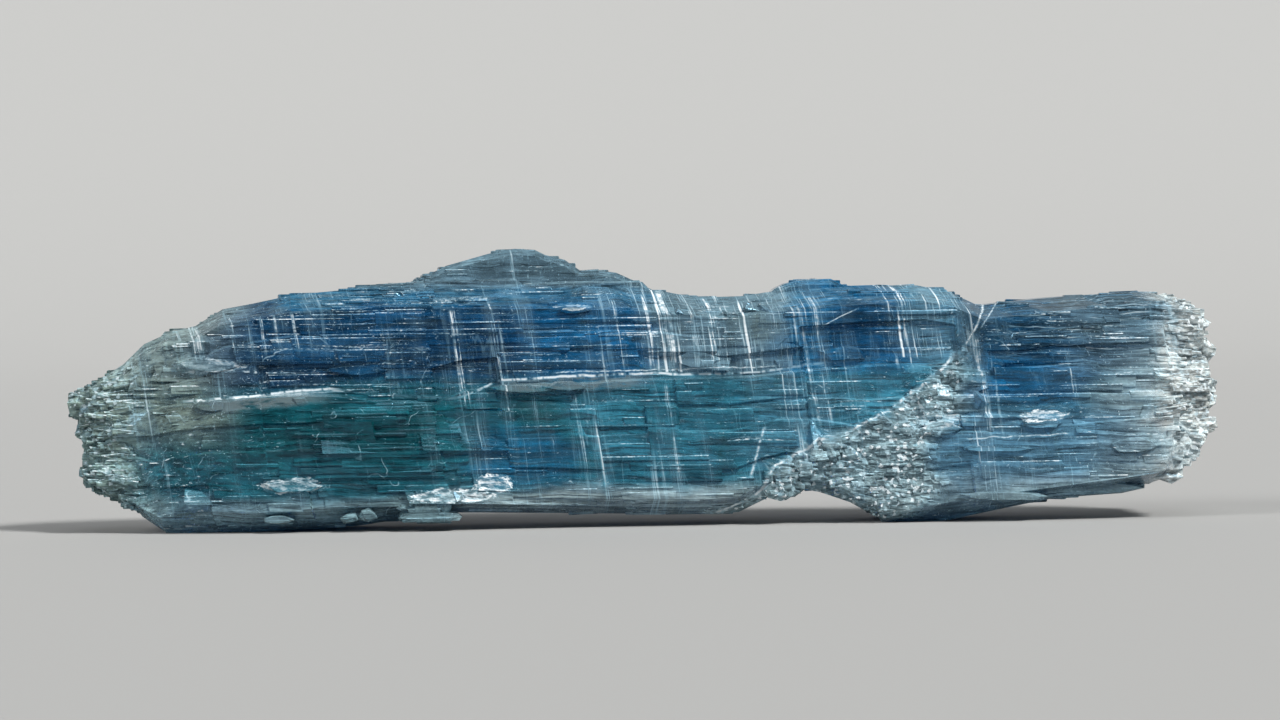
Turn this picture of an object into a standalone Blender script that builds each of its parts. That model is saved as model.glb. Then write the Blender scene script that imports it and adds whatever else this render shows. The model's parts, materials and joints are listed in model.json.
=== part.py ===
"""A kyanite blade cluster: long parallel blades of blue kyanite, grown together into one loose crystal.

The crystal stands on its long lower edge. +X runs along the blades, -Y is the broad front face, +Z is up,
and the origin is under its middle, on the surface that it rests on.

Its main body is lofted: cross-sections at stations along X, whose corners follow the long cleavage edges.
Stations lie on the parting planes that cut a kyanite blade nearly square to its length. The smaller blades,
laths, flakes and grains that grew or broke on it are solids of their own, and all are joined in one.
"""

import random
from collections import namedtuple

import bmesh
import bpy
import numpy as np
from mathutils import Matrix, Vector, noise

# Sizes are in millimetres: x from the left tip, z from the lowest point, and depth from the middle plane.
# A positive depth faces the front, which is -Y.
MM = 0.001
FRONT = 1
BACK = -1

# Long edges of the main body, as (x, z).
TOP_EDGE = [
    (0.8, 6.9), (1.9, 7.2), (2.4, 7.9), (3.1, 8.2), (3.6, 9.1), (4.4, 9.75), (6.2, 10.2), (6.9, 10.35),
    (7.4, 11.0), (8.3, 11.15), (10.1, 11.5), (11.5, 11.85), (11.8, 11.7), (12.7, 11.75), (13.1, 12.0),
    (15.4, 12.2), (17.2, 12.4), (24.5, 12.3), (29.1, 12.1), (30.5, 11.8), (33.1, 11.65), (35.3, 12.0),
    (38.6, 12.2), (42.7, 12.3), (43.0, 12.05), (44.3, 11.9), (44.9, 11.25), (45.9, 11.35), (49.4, 11.7),
    (53.8, 12.0), (54.7, 11.8), (55.6, 11.5), (56.7, 11.35),
]
BOTTOM_EDGE = [
    (0.8, 2.35), (1.35, 2.15), (1.8, 1.75), (2.4, 1.6), (2.7, 1.15), (3.4, 1.0), (3.7, 0.7), (4.3, 0.2),
    (4.9, -0.1), (10.5, -0.1), (10.9, 0.1), (15.5, 0.4), (16.9, 0.75), (18.4, 1.0), (28.0, 0.9),
    (33.1, 0.9), (34.0, 1.2), (35.4, 2.1), (36.0, 2.2), (38.0, 1.95), (39.4, 1.35), (39.8, 0.85),
    (40.3, 0.45), (43.0, 0.43), (45.5, 0.95), (48.5, 1.6), (52.5, 2.25), (55.5, 2.7), (56.7, 2.8),
]
# The ledge where the deep blue upper blade sinks behind the green lower one, and the one behind.
FRONT_LEDGE = [
    (0.8, 5.4), (3.6, 6.0), (6.4, 6.4), (9.6, 6.85), (13.1, 7.0), (16.3, 6.6), (18.6, 6.5), (20.3, 7.35),
    (25.0, 7.5), (29.5, 7.75), (34.5, 7.85), (37.0, 8.2), (41.5, 8.5), (44.5, 8.3), (47.0, 7.9),
    (49.0, 8.3), (56.7, 8.2),
]
BACK_LEDGE = [(0.8, 4.4), (12.0, 5.0), (24.0, 5.8), (38.0, 6.4), (56.7, 6.8)]
LEDGE_TREAD = 0.12

# Depths of the faces of the main body and heights of its bevels, as (x, size).
UPPER_FACE_DEPTH = [
    (0.8, 1.3), (3.6, 1.8), (7.0, 2.3), (12.0, 2.6), (28.0, 2.6), (33.0, 2.4), (40.0, 2.6), (44.2, 2.4),
    (45.5, 2.8), (54.5, 2.75), (56.7, 2.3),
]
LOWER_FACE_DEPTH = [
    (0.8, 1.4), (3.6, 2.2), (7.0, 2.9), (12.0, 3.3), (18.0, 3.4), (21.0, 3.2), (32.0, 3.0), (36.0, 2.75),
    (44.0, 2.85), (46.0, 3.15), (54.5, 3.05), (56.7, 2.5),
]
BACK_DEPTH = [(0.8, 1.5), (3.6, 2.0), (8.0, 2.5), (20.0, 2.7), (44.0, 2.6), (54.0, 2.6), (56.7, 2.1)]
BACK_UPPER_SETBACK = 0.45
TOP_BEVEL_HEIGHT = [(0.8, 0.5), (12.0, 0.9), (17.0, 1.3), (29.0, 1.1), (36.0, 1.0), (44.5, 0.7), (56.7, 0.6)]
BOTTOM_BEVEL_HEIGHT = [
    (0.8, 0.5), (3.6, 0.6), (7.0, 1.25), (18.0, 0.9), (33.0, 0.85), (39.0, 0.6), (44.0, 1.0), (50.0, 0.6),
    (56.7, 0.5),
]
LEAST_FACE_HEIGHT = 0.8

# Half the width of the ridge on top and of the foot, also as a share of the face's depth. The ridge sways.
RIDGE_HALF_WIDTH = 1.0
RIDGE_SHARE = 0.55
FOOT_HALF_WIDTH = 1.6
FOOT_SHARE = 0.6
RIDGE_SWAY = 0.9
SWAY_RATE = 0.35

# The lower blade swells out like a lens near its left end.
LENS_MIDDLE = (13.0, 4.8)
LENS_HALF_SIZE = (9.0, 2.2)
LENS_RISE = 0.35

# Where the parting planes break the cleavage steps, and how far each plane leans back for a rise of 1.
PARTINGS = [
    2.9, 6.8, 9.9, 11.8, 15.6, 19.9, 21.8, 26.4, 28.8, 30.4, 32.9, 36.9, 38.4, 41.6, 44.6, 46.0, 50.9, 54.8,
]
PARTING_HALF_WIDTH = 0.06
LEAN = 0.12
MIDDLE_HEIGHT = 6.5
STATION_PITCH = 1.5
FIRST_STATION = 0.8
LAST_STATION = 56.7

# Shares of each face's height where a cleavage step runs along it, how far it wanders, and its depth.
UPPER_STEPS = [0.3, 0.62]
LOWER_STEPS = [0.22, 0.46, 0.74]
BACK_STEPS = [0.3, 0.65]
STEP_HALF_HEIGHT = 0.05
STEP_DEPTH = 0.15
STEP_CHANCE = 0.45
STEP_WANDER = 0.05
WANDER_RATE = 0.12

# The break that crosses the front, as (z, x), and the crest of the blade beyond it.
BREAK_LINE = [
    (2.1, 34.6), (3.65, 36.6), (4.9, 39.1), (5.9, 40.6), (6.65, 42.6), (7.65, 43.6), (8.4, 44.6),
    (11.4, 45.1),
]
CREST_HEIGHT = 0.5
CREST_WIDTH = 2.4

# The right end is broken across: how far it reaches, as (z, x), and the thickness of its cover of grains.
RIGHT_END = [
    (2.7, 55.5), (3.3, 55.7), (3.9, 56.2), (4.6, 56.9), (5.3, 57.2), (7.0, 57.25), (8.0, 57.05), (8.8, 57.1),
    (9.6, 56.9), (11.0, 56.9), (11.4, 56.4),
]
RIGHT_END_LENGTH = 3.0
GRAIN_COVER = 0.5

# The size of the facets in rough places, how far they are thrown about, and where, as (place, how rough).
ROUGH_SCALE = 0.85
ROUGH_DEPTH = 0.45
NOISE_APART = (Vector((0.0, 0.0, 0.0)), Vector((31.7, 0.0, 0.0)), Vector((0.0, 47.3, 0.0)))
ROUGH_ALONG = [(3.0, 1.0), (6.7, 0.08), (54.4, 0.08), (55.8, 1.0)]
ROUGH_PAST_BREAK = [(-1.4, 0.0), (2.2, 1.0), (5.8, 0.0)]
BREAK_FADES = [(7.0, 1.0), (9.0, 0.0)]
ROUGH_TOP_ALONG = [(28.0, 0.0), (32.0, 0.6), (36.0, 0.0)]
ROUGH_TOP_STARTS = [(7.4, 0.0), (8.6, 1.0)]

# The crystal leans until both feet stand on a flat surface, and each foot, given as (x, z), is worn flat.
LEFT_FOOT = (7.7, -0.1)
RIGHT_FOOT = (41.6, 0.45)
FOOT_WEAR = 0.1

# Blades of a known outline, as (x, z).
HUMP_BLADE = [
    (13.6, 8.2), (14.4, 10.9), (16.6, 12.1), (17.7, 12.65), (18.9, 13.25), (21.0, 13.85), (22.3, 14.1),
    (23.3, 14.05), (23.8, 13.8), (24.8, 13.55), (25.6, 13.0), (26.6, 13.0), (27.4, 12.9), (28.4, 12.45),
    (29.3, 12.0), (33.2, 10.9), (36.0, 9.2), (35.4, 7.1), (24.0, 6.2), (14.6, 6.3),
]
HUMP_STEP = [
    (16.8, 11.3), (18.4, 12.45), (22.3, 12.65), (22.7, 12.35), (25.2, 12.5), (28.7, 12.45), (29.2, 11.95),
    (28.4, 11.2),
]
SADDLE_BLADE = [
    (34.4, 8.0), (34.3, 11.2), (35.3, 12.1), (35.8, 12.35), (36.7, 12.55), (38.1, 12.6), (38.7, 12.3),
    (40.0, 11.9), (45.8, 11.3), (46.6, 9.9), (45.2, 8.2),
]
SLIVER_BLADE = [
    (46.5, 1.6), (47.0, 2.9), (51.5, 2.75), (53.5, 2.35), (53.55, 2.25), (52.4, 2.0), (49.0, 1.7),
]
# Each with the depths of its front and back, and how far its rim is cut back to its faces.
Plate = namedtuple("Plate", "outline front back edge")
PLATES = [
    Plate(HUMP_BLADE, 0.3, -2.65, 0.3),
    Plate(HUMP_STEP, 1.0, -1.0, 0.2),
    Plate(SADDLE_BLADE, 1.0, -2.4, 0.3),
    Plate(SLIVER_BLADE, 2.5, 1.0, 0.2),
]
RIM_SLANT = 2.5

# Ragged cleavage sheets grown on the back.
Sheet = namedtuple("Sheet", "left right low high back seed")
BACK_SHEETS = [
    Sheet(5.2, 33.8, 1.75, 5.5, -2.95, 1),
    Sheet(9.5, 23.0, 2.6, 4.5, -3.25, 2),
    Sheet(18.5, 31.0, 3.3, 5.0, -3.4, 3),
    Sheet(37.4, 54.3, 3.1, 6.5, -2.85, 4),
    Sheet(42.5, 50.5, 3.8, 5.5, -3.15, 5),
    Sheet(15.0, 31.5, 7.0, 10.8, -3.0, 6),
    Sheet(18.2, 26.0, 8.6, 11.9, -3.3, 7),
    Sheet(35.2, 44.2, 7.6, 10.9, -2.7, 8),
    Sheet(45.2, 55.4, 7.5, 10.4, -2.45, 9),
    Sheet(6.3, 13.8, 6.0, 9.3, -2.5, 10),
    Sheet(24.5, 34.6, 6.2, 8.6, -2.75, 11),
]
SHEET_FRONT = -0.8
SHEET_EDGE = 0.22
SHEET_PITCH = 2.6
SHEET_WANDER = 0.16
SHEET_STEPS = 3
SHEET_RAGGED = 1.4
SHEET_NOTCH = 0.1

# The left end is a stair of broken laths, in a middle row and a shoulder row on each side of it.
Lath = namedtuple("Lath", "start low high")
LEFT_STAIR = [
    Lath(7.05, 9.4, 11.05), Lath(4.45, 8.4, 10.1), Lath(3.6, 7.8, 9.45), Lath(3.0, 7.2, 8.6),
    Lath(1.95, 6.4, 8.0), Lath(0.0, 5.5, 7.05), Lath(0.3, 4.5, 6.3), Lath(0.85, 3.0, 5.2),
    Lath(0.7, 2.05, 3.7), Lath(1.75, 1.6, 2.8), Lath(2.7, 1.05, 2.2), Lath(3.7, 0.6, 1.7),
]
STAIR_SEED = 3
STAIR_LENGTH = 5.0
STAIR_HALF_DEPTH = 1.25
STAIR_SPREAD = 0.3
SHOULDER_DEPTH = 1.95
SHOULDER_ROOT = 0.7
SHOULDER_DELAY = (0.5, 1.6)
SHOULDER_INSET = 0.2
LATH_SECTION = [(-1, -0.5), (-0.4, -1), (0.55, -1), (1, -0.4), (0.9, 0.7), (0.2, 1), (-0.7, 1), (-1, 0.4)]
TIP_LENGTH = 0.45
TIP_SHARES = (0.6, 0.95)

# Flakes broken up from the front: the middle, the length along X, the height, and how far each stands out.
Flake = namedtuple("Flake", "x z length height rise")
FLAKES = [
    Flake(7.3, 8.35, 4.2, 0.9, 0.26), Flake(25.25, 11.05, 2.0, 0.45, 0.2), Flake(11.4, 2.4, 3.4, 0.9, 0.22),
    Flake(10.8, 0.75, 1.6, 0.5, 0.2), Flake(48.4, 5.5, 2.7, 0.7, 0.34), Flake(43.4, 5.25, 2.6, 0.95, 0.4),
    Flake(7.4, 6.35, 2.2, 0.7, 0.3), Flake(22.7, 7.2, 4.6, 0.5, 0.28), Flake(25.0, 7.35, 2.4, 0.5, 0.4),
    Flake(52.8, 4.4, 3.6, 1.0, 0.25), Flake(18.2, 0.9, 4.0, 0.6, 0.2), Flake(46.5, 1.9, 5.0, 0.55, 0.2),
    Flake(46.0, 4.25, 4.4, 0.4, 0.3), Flake(31.5, 8.6, 2.6, 1.2, 0.2), Flake(14.6, 8.1, 3.8, 0.6, 0.2),
    Flake(38.6, 8.9, 3.0, 0.9, 0.2),
]
FLAKE_SEED = 20
FLAKE_CORNERS = 9
FLAKE_ROOT = 0.7
FLAKE_REACH = (0.7, 1.0)
FLAKE_SLOPE = (0.1, 0.3)

# Cleavage ledges lie in these fields, on the body's own face or on a sheet at the depth given.
Field = namedtuple("Field", "count left right low high side depth seed")
LEDGE_FIELDS = [
    Field(9, 9.0, 33.0, 8.0, 10.7, FRONT, None, 5),
    Field(10, 6.0, 34.0, 1.8, 6.2, FRONT, None, 6),
    Field(10, 44.5, 55.0, 3.4, 10.8, FRONT, None, 7),
    Field(6, 6.0, 33.0, 2.6, 5.2, BACK, -2.95, 8),
    Field(6, 15.0, 33.0, 7.6, 10.4, BACK, -3.0, 9),
    Field(5, 38.0, 54.0, 3.6, 6.2, BACK, -2.85, 10),
]
LEDGE_LENGTHS = (3.0, 11.0)
LEDGE_HEIGHTS = (0.5, 1.7)
LEDGE_RISES = (0.14, 0.34)
LEDGE_ROOT = 0.7
LEDGE_SINK = 0.22
LEDGE_TAPER = 0.15
LEDGE_LEAN = 0.3
LEDGE_SKEW = 0.4

# Grains of the right end, in front and behind, and chips past the break and on the shattered top.
Grains = namedtuple("Grains", "count left right low high least most side seed")
END_GRAINS = [
    Grains(26, 55.5, 57.4, 3.0, 11.0, 0.5, 0.95, FRONT, 3),
    Grains(18, 55.5, 57.4, 3.2, 10.8, 0.5, 0.95, BACK, 4),
]
END_GRAIN_DEPTH = 2.1
END_GRAIN_REACH = 0.15
CHIPS = Grains(26, 0.0, 1.6, 1.9, 7.4, 0.35, 0.85, FRONT, 13)
TOP_CHIPS = Grains(7, 29.5, 35.5, 10.6, 11.2, 0.35, 0.7, FRONT, 14)
# A crust of grains runs along the bottom of the front, and a knob sits at the left end, as (x, z, size).
CRUST = [
    (14.2, 0.85, 0.45), (15.2, 0.95, 0.5), (16.1, 1.05, 0.45), (17.2, 1.3, 0.5), (18.0, 1.45, 0.55),
    (18.8, 1.5, 0.6), (19.5, 1.75, 0.65), (20.1, 2.15, 0.7), (20.7, 2.6, 0.75), (21.1, 2.1, 0.6),
]
CRUST_SEED = 15
KNOB = (0.9, 2.85, 0.42)
KNOB_DEPTH = -0.3
GRAIN_POINTS = 12
GRAIN_STRETCH = Vector((1.3, 1.0, 0.85))
GRAIN_EVENNESS = 0.85
BURIED_SHARE = 0.55

# Facets that meet within this angle are one cleavage face.
FLAT_WITHIN = np.radians(4.0)

DEEP_BLUE = (0.03, 0.13, 0.30, 1.0)
KYANITE_IOR = 1.72


def along(line, x):
    """The value at x of a line through points."""
    return float(np.interp(x, *zip(*line)))


def leaned(line, station):
    """The height of a long edge where a station's leaning parting plane meets it, and the x there."""
    x = station
    for _ in range(4):
        x = station + LEAN * (MIDDLE_HEIGHT - along(line, x))
    return along(line, x), x


def stations():
    """Stations along X: a close pair at each parting plane, and evenly spaced ones between."""
    ends = [FIRST_STATION] + [p + s * PARTING_HALF_WIDTH for p in PARTINGS for s in (-1, 1)] + [LAST_STATION]
    places = []
    for start, end in zip(ends[::2], ends[1::2]):
        count = max(1, round((end - start) / STATION_PITCH))
        places += list(np.linspace(start, end, count + 1))
    return places


def step_offsets(seed, steps):
    """For each strip between a face's steps, its offset in depth between partings. It mostly carries on."""
    chance = random.Random(seed)
    rows = []
    for _ in range(len(steps) + 1):
        offsets = [chance.uniform(-STEP_DEPTH, STEP_DEPTH)]
        for _ in PARTINGS:
            carries_on = chance.random() > STEP_CHANCE
            offsets.append(offsets[-1] if carries_on else chance.uniform(-STEP_DEPTH, STEP_DEPTH))
        rows.append(offsets)
    return rows


# Each stepped face has its steps, their offsets and its own row of the noise that its steps wander by.
SteppedFace = namedtuple("SteppedFace", "steps offsets row")
UPPER_FACE = SteppedFace(UPPER_STEPS, step_offsets(11, UPPER_STEPS), 1.0)
LOWER_FACE = SteppedFace(LOWER_STEPS, step_offsets(23, LOWER_STEPS), 2.0)
BACK_LOWER_FACE = SteppedFace(BACK_STEPS, step_offsets(47, BACK_STEPS), 3.0)
BACK_UPPER_FACE = SteppedFace(BACK_STEPS, step_offsets(31, BACK_STEPS), 4.0)


def face_strips(face, high, low, depth, station):
    """A face from height high down to low, as strips with a small step between them: (height, depth)."""
    block = sum(station > parting for parting in PARTINGS)
    heights = [high]
    for i, share in enumerate(face.steps):
        wander = STEP_WANDER * noise.noise(Vector((station * WANDER_RATE, face.row + i * 7.3, 0.0)))
        middle = high + (low - high) * (share + wander)
        heights += [middle + STEP_HALF_HEIGHT, middle - STEP_HALF_HEIGHT]
    heights.append(low)
    return [(height, depth + face.offsets[i // 2][block]) for i, height in enumerate(heights)]


def swell(x, z):
    """How far the front stands out over its flat faces: at the lens, and at the crest beyond the break."""
    beyond = x - along(BREAK_LINE, z)
    crest = CREST_HEIGHT * np.exp(-beyond / CREST_WIDTH) if beyond > 0 else 0.0
    off_lens = np.hypot((x - LENS_MIDDLE[0]) / LENS_HALF_SIZE[0], (z - LENS_MIDDLE[1]) / LENS_HALF_SIZE[1])
    return float(crest + LENS_RISE * max(0.0, 1 - off_lens**2))


def cross_section(station):
    """The corners of the cross-section at a station, down the front and up the back, as (height, depth)."""
    top, top_x = leaned(TOP_EDGE, station)
    bottom, bottom_x = leaned(BOTTOM_EDGE, station)
    face_top = top - along(TOP_BEVEL_HEIGHT, top_x)
    face_bottom = bottom + along(BOTTOM_BEVEL_HEIGHT, bottom_x)
    lowest, highest = face_bottom + LEAST_FACE_HEIGHT, face_top - LEAST_FACE_HEIGHT
    ledge = min(max(leaned(FRONT_LEDGE, station)[0], lowest), highest)
    back_ledge = min(max(leaned(BACK_LEDGE, station)[0], lowest), highest)
    upper = along(UPPER_FACE_DEPTH, station)
    lower = along(LOWER_FACE_DEPTH, station)
    back = along(BACK_DEPTH, station)

    front_corners = face_strips(UPPER_FACE, face_top, ledge, upper, station)
    front_corners += face_strips(LOWER_FACE, ledge - LEDGE_TREAD, face_bottom, lower, station)
    set_back = back - BACK_UPPER_SETBACK
    back_corners = face_strips(BACK_UPPER_FACE, face_top, back_ledge + LEDGE_TREAD, set_back, station)
    back_corners += face_strips(BACK_LOWER_FACE, back_ledge, face_bottom, back, station)
    foot = min(FOOT_HALF_WIDTH, FOOT_SHARE * lower)
    ridge = min(RIDGE_HALF_WIDTH, RIDGE_SHARE * upper)
    sway = RIDGE_SWAY * noise.noise(Vector((station * SWAY_RATE, 5.0, 0.0)))
    return (
        [(top, sway + ridge)]
        + front_corners
        + [(bottom, foot), (bottom, 0.0), (bottom, -foot)]
        + [(height, -depth) for height, depth in reversed(back_corners)]
        + [(top, sway - ridge)]
    )


def roughness(x, z, depth):
    """From 0 to 1, how broken the surface is: at both ends, beyond the break and at the shattered top."""
    rough = max(along(ROUGH_ALONG, x), along(ROUGH_TOP_ALONG, x) * along(ROUGH_TOP_STARTS, z))
    if depth > 0:
        rough = max(rough, along(ROUGH_PAST_BREAK, x - along(BREAK_LINE, z)) * along(BREAK_FADES, z))
    return rough


def broken_surface(place):
    """A point in millimetres, moved as the surface is broken there."""
    near = place / ROUGH_SCALE
    throw = Vector([noise.noise(near + apart) for apart in NOISE_APART])
    return place + ROUGH_DEPTH * roughness(place.x, place.z, -place.y) * throw


def add_loop(mesh, places):
    return [mesh.verts.new(place) for place in places]


def solid_through(loops):
    """A closed solid through loops of points of the same length, with one face at each end."""
    mesh = bmesh.new()
    rings = [add_loop(mesh, places) for places in loops]
    for first, second in zip(rings, rings[1:]):
        for i in range(len(first)):
            j = (i + 1) % len(first)
            mesh.faces.new((first[i], first[j], second[j], second[i]))
    mesh.faces.new(rings[0])
    mesh.faces.new(rings[-1])
    bmesh.ops.recalc_face_normals(mesh, faces=mesh.faces)
    return mesh


def main_body():
    """The lofted body of the crystal."""
    loops = []
    for station in stations():
        reach = max(0.0, 1 - (LAST_STATION - station) / RIGHT_END_LENGTH)
        places = []
        for z, depth in cross_section(station):
            lean = LEAN * (MIDDLE_HEIGHT - z)
            x = station + lean + reach * (along(RIGHT_END, z) - GRAIN_COVER - LAST_STATION - lean)
            if depth > 0:
                depth += swell(x, z)
            places.append(broken_surface(Vector((x, -depth, z))))
        loops.append(places)
    return solid_through(loops)


def plate_blade(plate):
    """A blade of a given outline, whose rim is cut back to its two broad faces."""
    centre_x, centre_z = np.mean(plate.outline, axis=0)
    loops = []
    for depth, inset in (
        (plate.front, plate.edge),
        (plate.front - plate.edge, 0.0),
        (plate.back + plate.edge, 0.0),
        (plate.back, plate.edge),
    ):
        places = []
        for x, z in plate.outline:
            inwards = Vector((centre_x - x, 0.0, (centre_z - z) * RIM_SLANT)).normalized()
            places.append(Vector((x, -depth, z)) + inwards * inset)
        loops.append(places)
    return solid_through(loops)


def ragged_end(x, way, levels, chance):
    """The outline of a sheet's broken end, from the first level to the last, facing along X by way."""
    outline = []
    for level, next_level in zip(levels, levels[1:]):
        reach = x - way * chance.uniform(0.0, SHEET_RAGGED)
        outline += [(reach + way * SHEET_NOTCH, level + way * SHEET_NOTCH)]
        outline += [(reach, next_level - way * SHEET_NOTCH)]
    return outline


def wandering_edge(start, end, height, chance):
    """The outline of a sheet's long edge, between its ends."""
    count = round(abs(end - start) / SHEET_PITCH)
    inside = np.linspace(start, end, count + 1)[1:-1]
    return [(x, height + chance.uniform(-SHEET_WANDER, SHEET_WANDER)) for x in inside]


def ragged_sheet(sheet):
    """A sheet on the back with wandering long edges, whose two ends are broken into steps."""
    chance = random.Random(sheet.seed)
    levels = np.linspace(sheet.low, sheet.high, SHEET_STEPS + 1)
    outline = (
        ragged_end(sheet.right, 1, levels, chance)
        + wandering_edge(sheet.right, sheet.left, sheet.high, chance)
        + ragged_end(sheet.left, -1, levels[::-1], chance)
        + wandering_edge(sheet.left, sheet.right, sheet.low, chance)
    )
    return plate_blade(Plate(outline, SHEET_FRONT, sheet.back, SHEET_EDGE))


def stair_lath(start, low, high, inner, outer, chance):
    """A lath along X from start into the body, between two depths, with a chipped tip."""
    middle = Vector((0.0, -(inner + outer) / 2, (low + high) / 2))
    half_height = (high - low) / 2
    half_depth = (outer - inner) / 2
    loops = [[], [], []]
    for up, out in LATH_SECTION:
        lean = LEAN * up * half_height + chance.uniform(0.0, TIP_LENGTH)
        whole = middle + Vector((start + TIP_LENGTH + lean, -out * half_depth, up * half_height))
        tip = middle.lerp(whole, chance.uniform(*TIP_SHARES))
        tip.x = start + lean
        loops[0].append(tip)
        loops[1].append(whole)
        loops[2].append(whole + Vector((STAIR_LENGTH, 0.0, 0.0)))
    return solid_through(loops)


def left_stair():
    """The laths that the left end breaks into. Those of the shoulder rows start a little later."""
    chance = random.Random(STAIR_SEED)
    laths = []
    for start, low, high in LEFT_STAIR:
        front = STAIR_HALF_DEPTH + chance.uniform(-STAIR_SPREAD, STAIR_SPREAD)
        back = STAIR_HALF_DEPTH + chance.uniform(-STAIR_SPREAD, STAIR_SPREAD)
        laths.append(stair_lath(start, low, high, -back, front, chance))
        for side in (BACK, FRONT):
            begin = start + chance.uniform(*SHOULDER_DELAY)
            outer = side * (SHOULDER_DEPTH + chance.uniform(-STAIR_SPREAD, STAIR_SPREAD))
            inset = chance.uniform(0.0, SHOULDER_INSET)
            laths.append(stair_lath(begin, low + inset, high - inset, side * SHOULDER_ROOT, outer, chance))
    return laths


def surface_depth(x, z, side):
    """The depth of the body's front or back face at a place."""
    if side == FRONT:
        face = UPPER_FACE_DEPTH if z > along(FRONT_LEDGE, x) else LOWER_FACE_DEPTH
        return along(face, x) + swell(x, z)
    setback = BACK_UPPER_SETBACK if z > along(BACK_LEDGE, x) else 0.0
    return setback - along(BACK_DEPTH, x)


def flake_blade(flake, chance):
    """A flake on the front, of a rounded outline, whose broken rim slopes to its flat face."""
    surface = Vector((flake.x, -surface_depth(flake.x, flake.z, FRONT), flake.z))
    loops = [[], [], []]
    for i in range(FLAKE_CORNERS):
        angle = 2 * np.pi * i / FLAKE_CORNERS
        half_size = chance.uniform(*FLAKE_REACH) / 2
        across = Vector((np.cos(angle) * flake.length, 0.0, np.sin(angle) * flake.height)) * half_size
        loops[0].append(surface + across + Vector((0.0, FLAKE_ROOT, 0.0)))
        loops[1].append(surface + across)
        flat = across * (1 - chance.uniform(*FLAKE_SLOPE))
        loops[2].append(surface + flat - Vector((0.0, flake.rise, 0.0)))
    return solid_through(loops)


def ledge_blade(field, ends, low, high, rise, chance):
    """A broken cleavage sheet: it stands out at one end and one long side, and sinks in elsewhere."""
    sinking_end = chance.choice(ends)
    sinks_above = chance.random() < 0.5
    loops = []
    for x in ends:
        lean = LEAN + chance.uniform(-LEDGE_LEAN, LEDGE_LEAN)
        skew = chance.uniform(-LEDGE_SKEW, LEDGE_SKEW)
        surface = surface_depth(x, (low + high) / 2, field.side) if field.depth is None else field.depth
        inner = surface - field.side * LEDGE_ROOT
        sunk = surface - field.side * LEDGE_SINK
        proud = sunk if x == sinking_end else surface + field.side * rise
        end_low = low + chance.uniform(-LEDGE_TAPER, LEDGE_TAPER)
        end_high = high + chance.uniform(-LEDGE_TAPER, LEDGE_TAPER)
        above, below = (sunk, proud) if sinks_above else (proud, sunk)
        corners = [(end_low, inner), (end_high, inner), (end_high, above), (end_low, below)]
        places = []
        for z, depth in corners:
            places.append(Vector((x - lean * (z - low) + skew * (depth - inner), -depth, z)))
        loops.append(places)
    return solid_through(loops)


def ledges():
    """The cleavage ledges of every field."""
    made = []
    for field in LEDGE_FIELDS:
        chance = random.Random(field.seed)
        for _ in range(field.count):
            left = chance.uniform(field.left, field.right - LEDGE_LENGTHS[0])
            right = min(left + chance.uniform(*LEDGE_LENGTHS), field.right)
            middle = chance.uniform(field.low, field.high)
            half = chance.uniform(*LEDGE_HEIGHTS) / 2
            rise = chance.uniform(*LEDGE_RISES)
            made.append(ledge_blade(field, (left, right), middle - half, middle + half, rise, chance))
    return made


def grain(x, depth, z, size, chance):
    """An angular grain: the hull of points around its middle."""
    mesh = bmesh.new()
    middle = Vector((x, -depth, z))
    for _ in range(GRAIN_POINTS):
        way = Vector((chance.gauss(0, 1), chance.gauss(0, 1), chance.gauss(0, 1))).normalized()
        mesh.verts.new(middle + way * GRAIN_STRETCH * size * chance.uniform(GRAIN_EVENNESS, 1.0))
    hull = bmesh.ops.convex_hull(mesh, input=mesh.verts)
    bmesh.ops.delete(mesh, geom=[v for v in hull["geom_interior"] if v.is_valid], context="VERTS")
    bmesh.ops.recalc_face_normals(mesh, faces=mesh.faces)
    return mesh


def surface_grain(x, z, size, chance):
    """A grain half sunk in the front face."""
    return grain(x, surface_depth(x, z, FRONT) - size * BURIED_SHARE, z, size, chance)


def grains():
    """The grains of the right end and of the crust, the chips past the break and on top, and the knob."""
    made = []
    for field in END_GRAINS:
        chance = random.Random(field.seed)
        for _ in range(field.count):
            z = chance.uniform(field.low, field.high)
            size = chance.uniform(field.least, field.most)
            end = along(RIGHT_END, z) + END_GRAIN_REACH - GRAIN_STRETCH.x * size
            x = min(chance.uniform(field.left, field.right), end)
            made.append(grain(x, field.side * chance.uniform(0.0, END_GRAIN_DEPTH), z, size, chance))
    for field in (CHIPS, TOP_CHIPS):
        chance = random.Random(field.seed)
        for _ in range(field.count):
            z = chance.uniform(field.low, field.high)
            size = chance.uniform(field.least, field.most)
            x = chance.uniform(field.left, field.right)
            if field is CHIPS:
                x = along(BREAK_LINE, z) + abs(chance.gauss(field.left, field.right))
            made.append(surface_grain(x, z, size, chance))
    chance = random.Random(CRUST_SEED)
    made += [surface_grain(x, z, size, chance) for x, z, size in CRUST]
    x, z, size = KNOB
    return made + [grain(x, KNOB_DEPTH, z, size, chance)]


def growths():
    """Every smaller blade, sheet, lath, flake, ledge and grain, each a closed solid in the body's side."""
    chance = random.Random(FLAKE_SEED)
    made = [plate_blade(plate) for plate in PLATES]
    made += [ragged_sheet(sheet) for sheet in BACK_SHEETS]
    made += left_stair()
    made += [flake_blade(flake, chance) for flake in FLAKES]
    return made + ledges() + grains()


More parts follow.
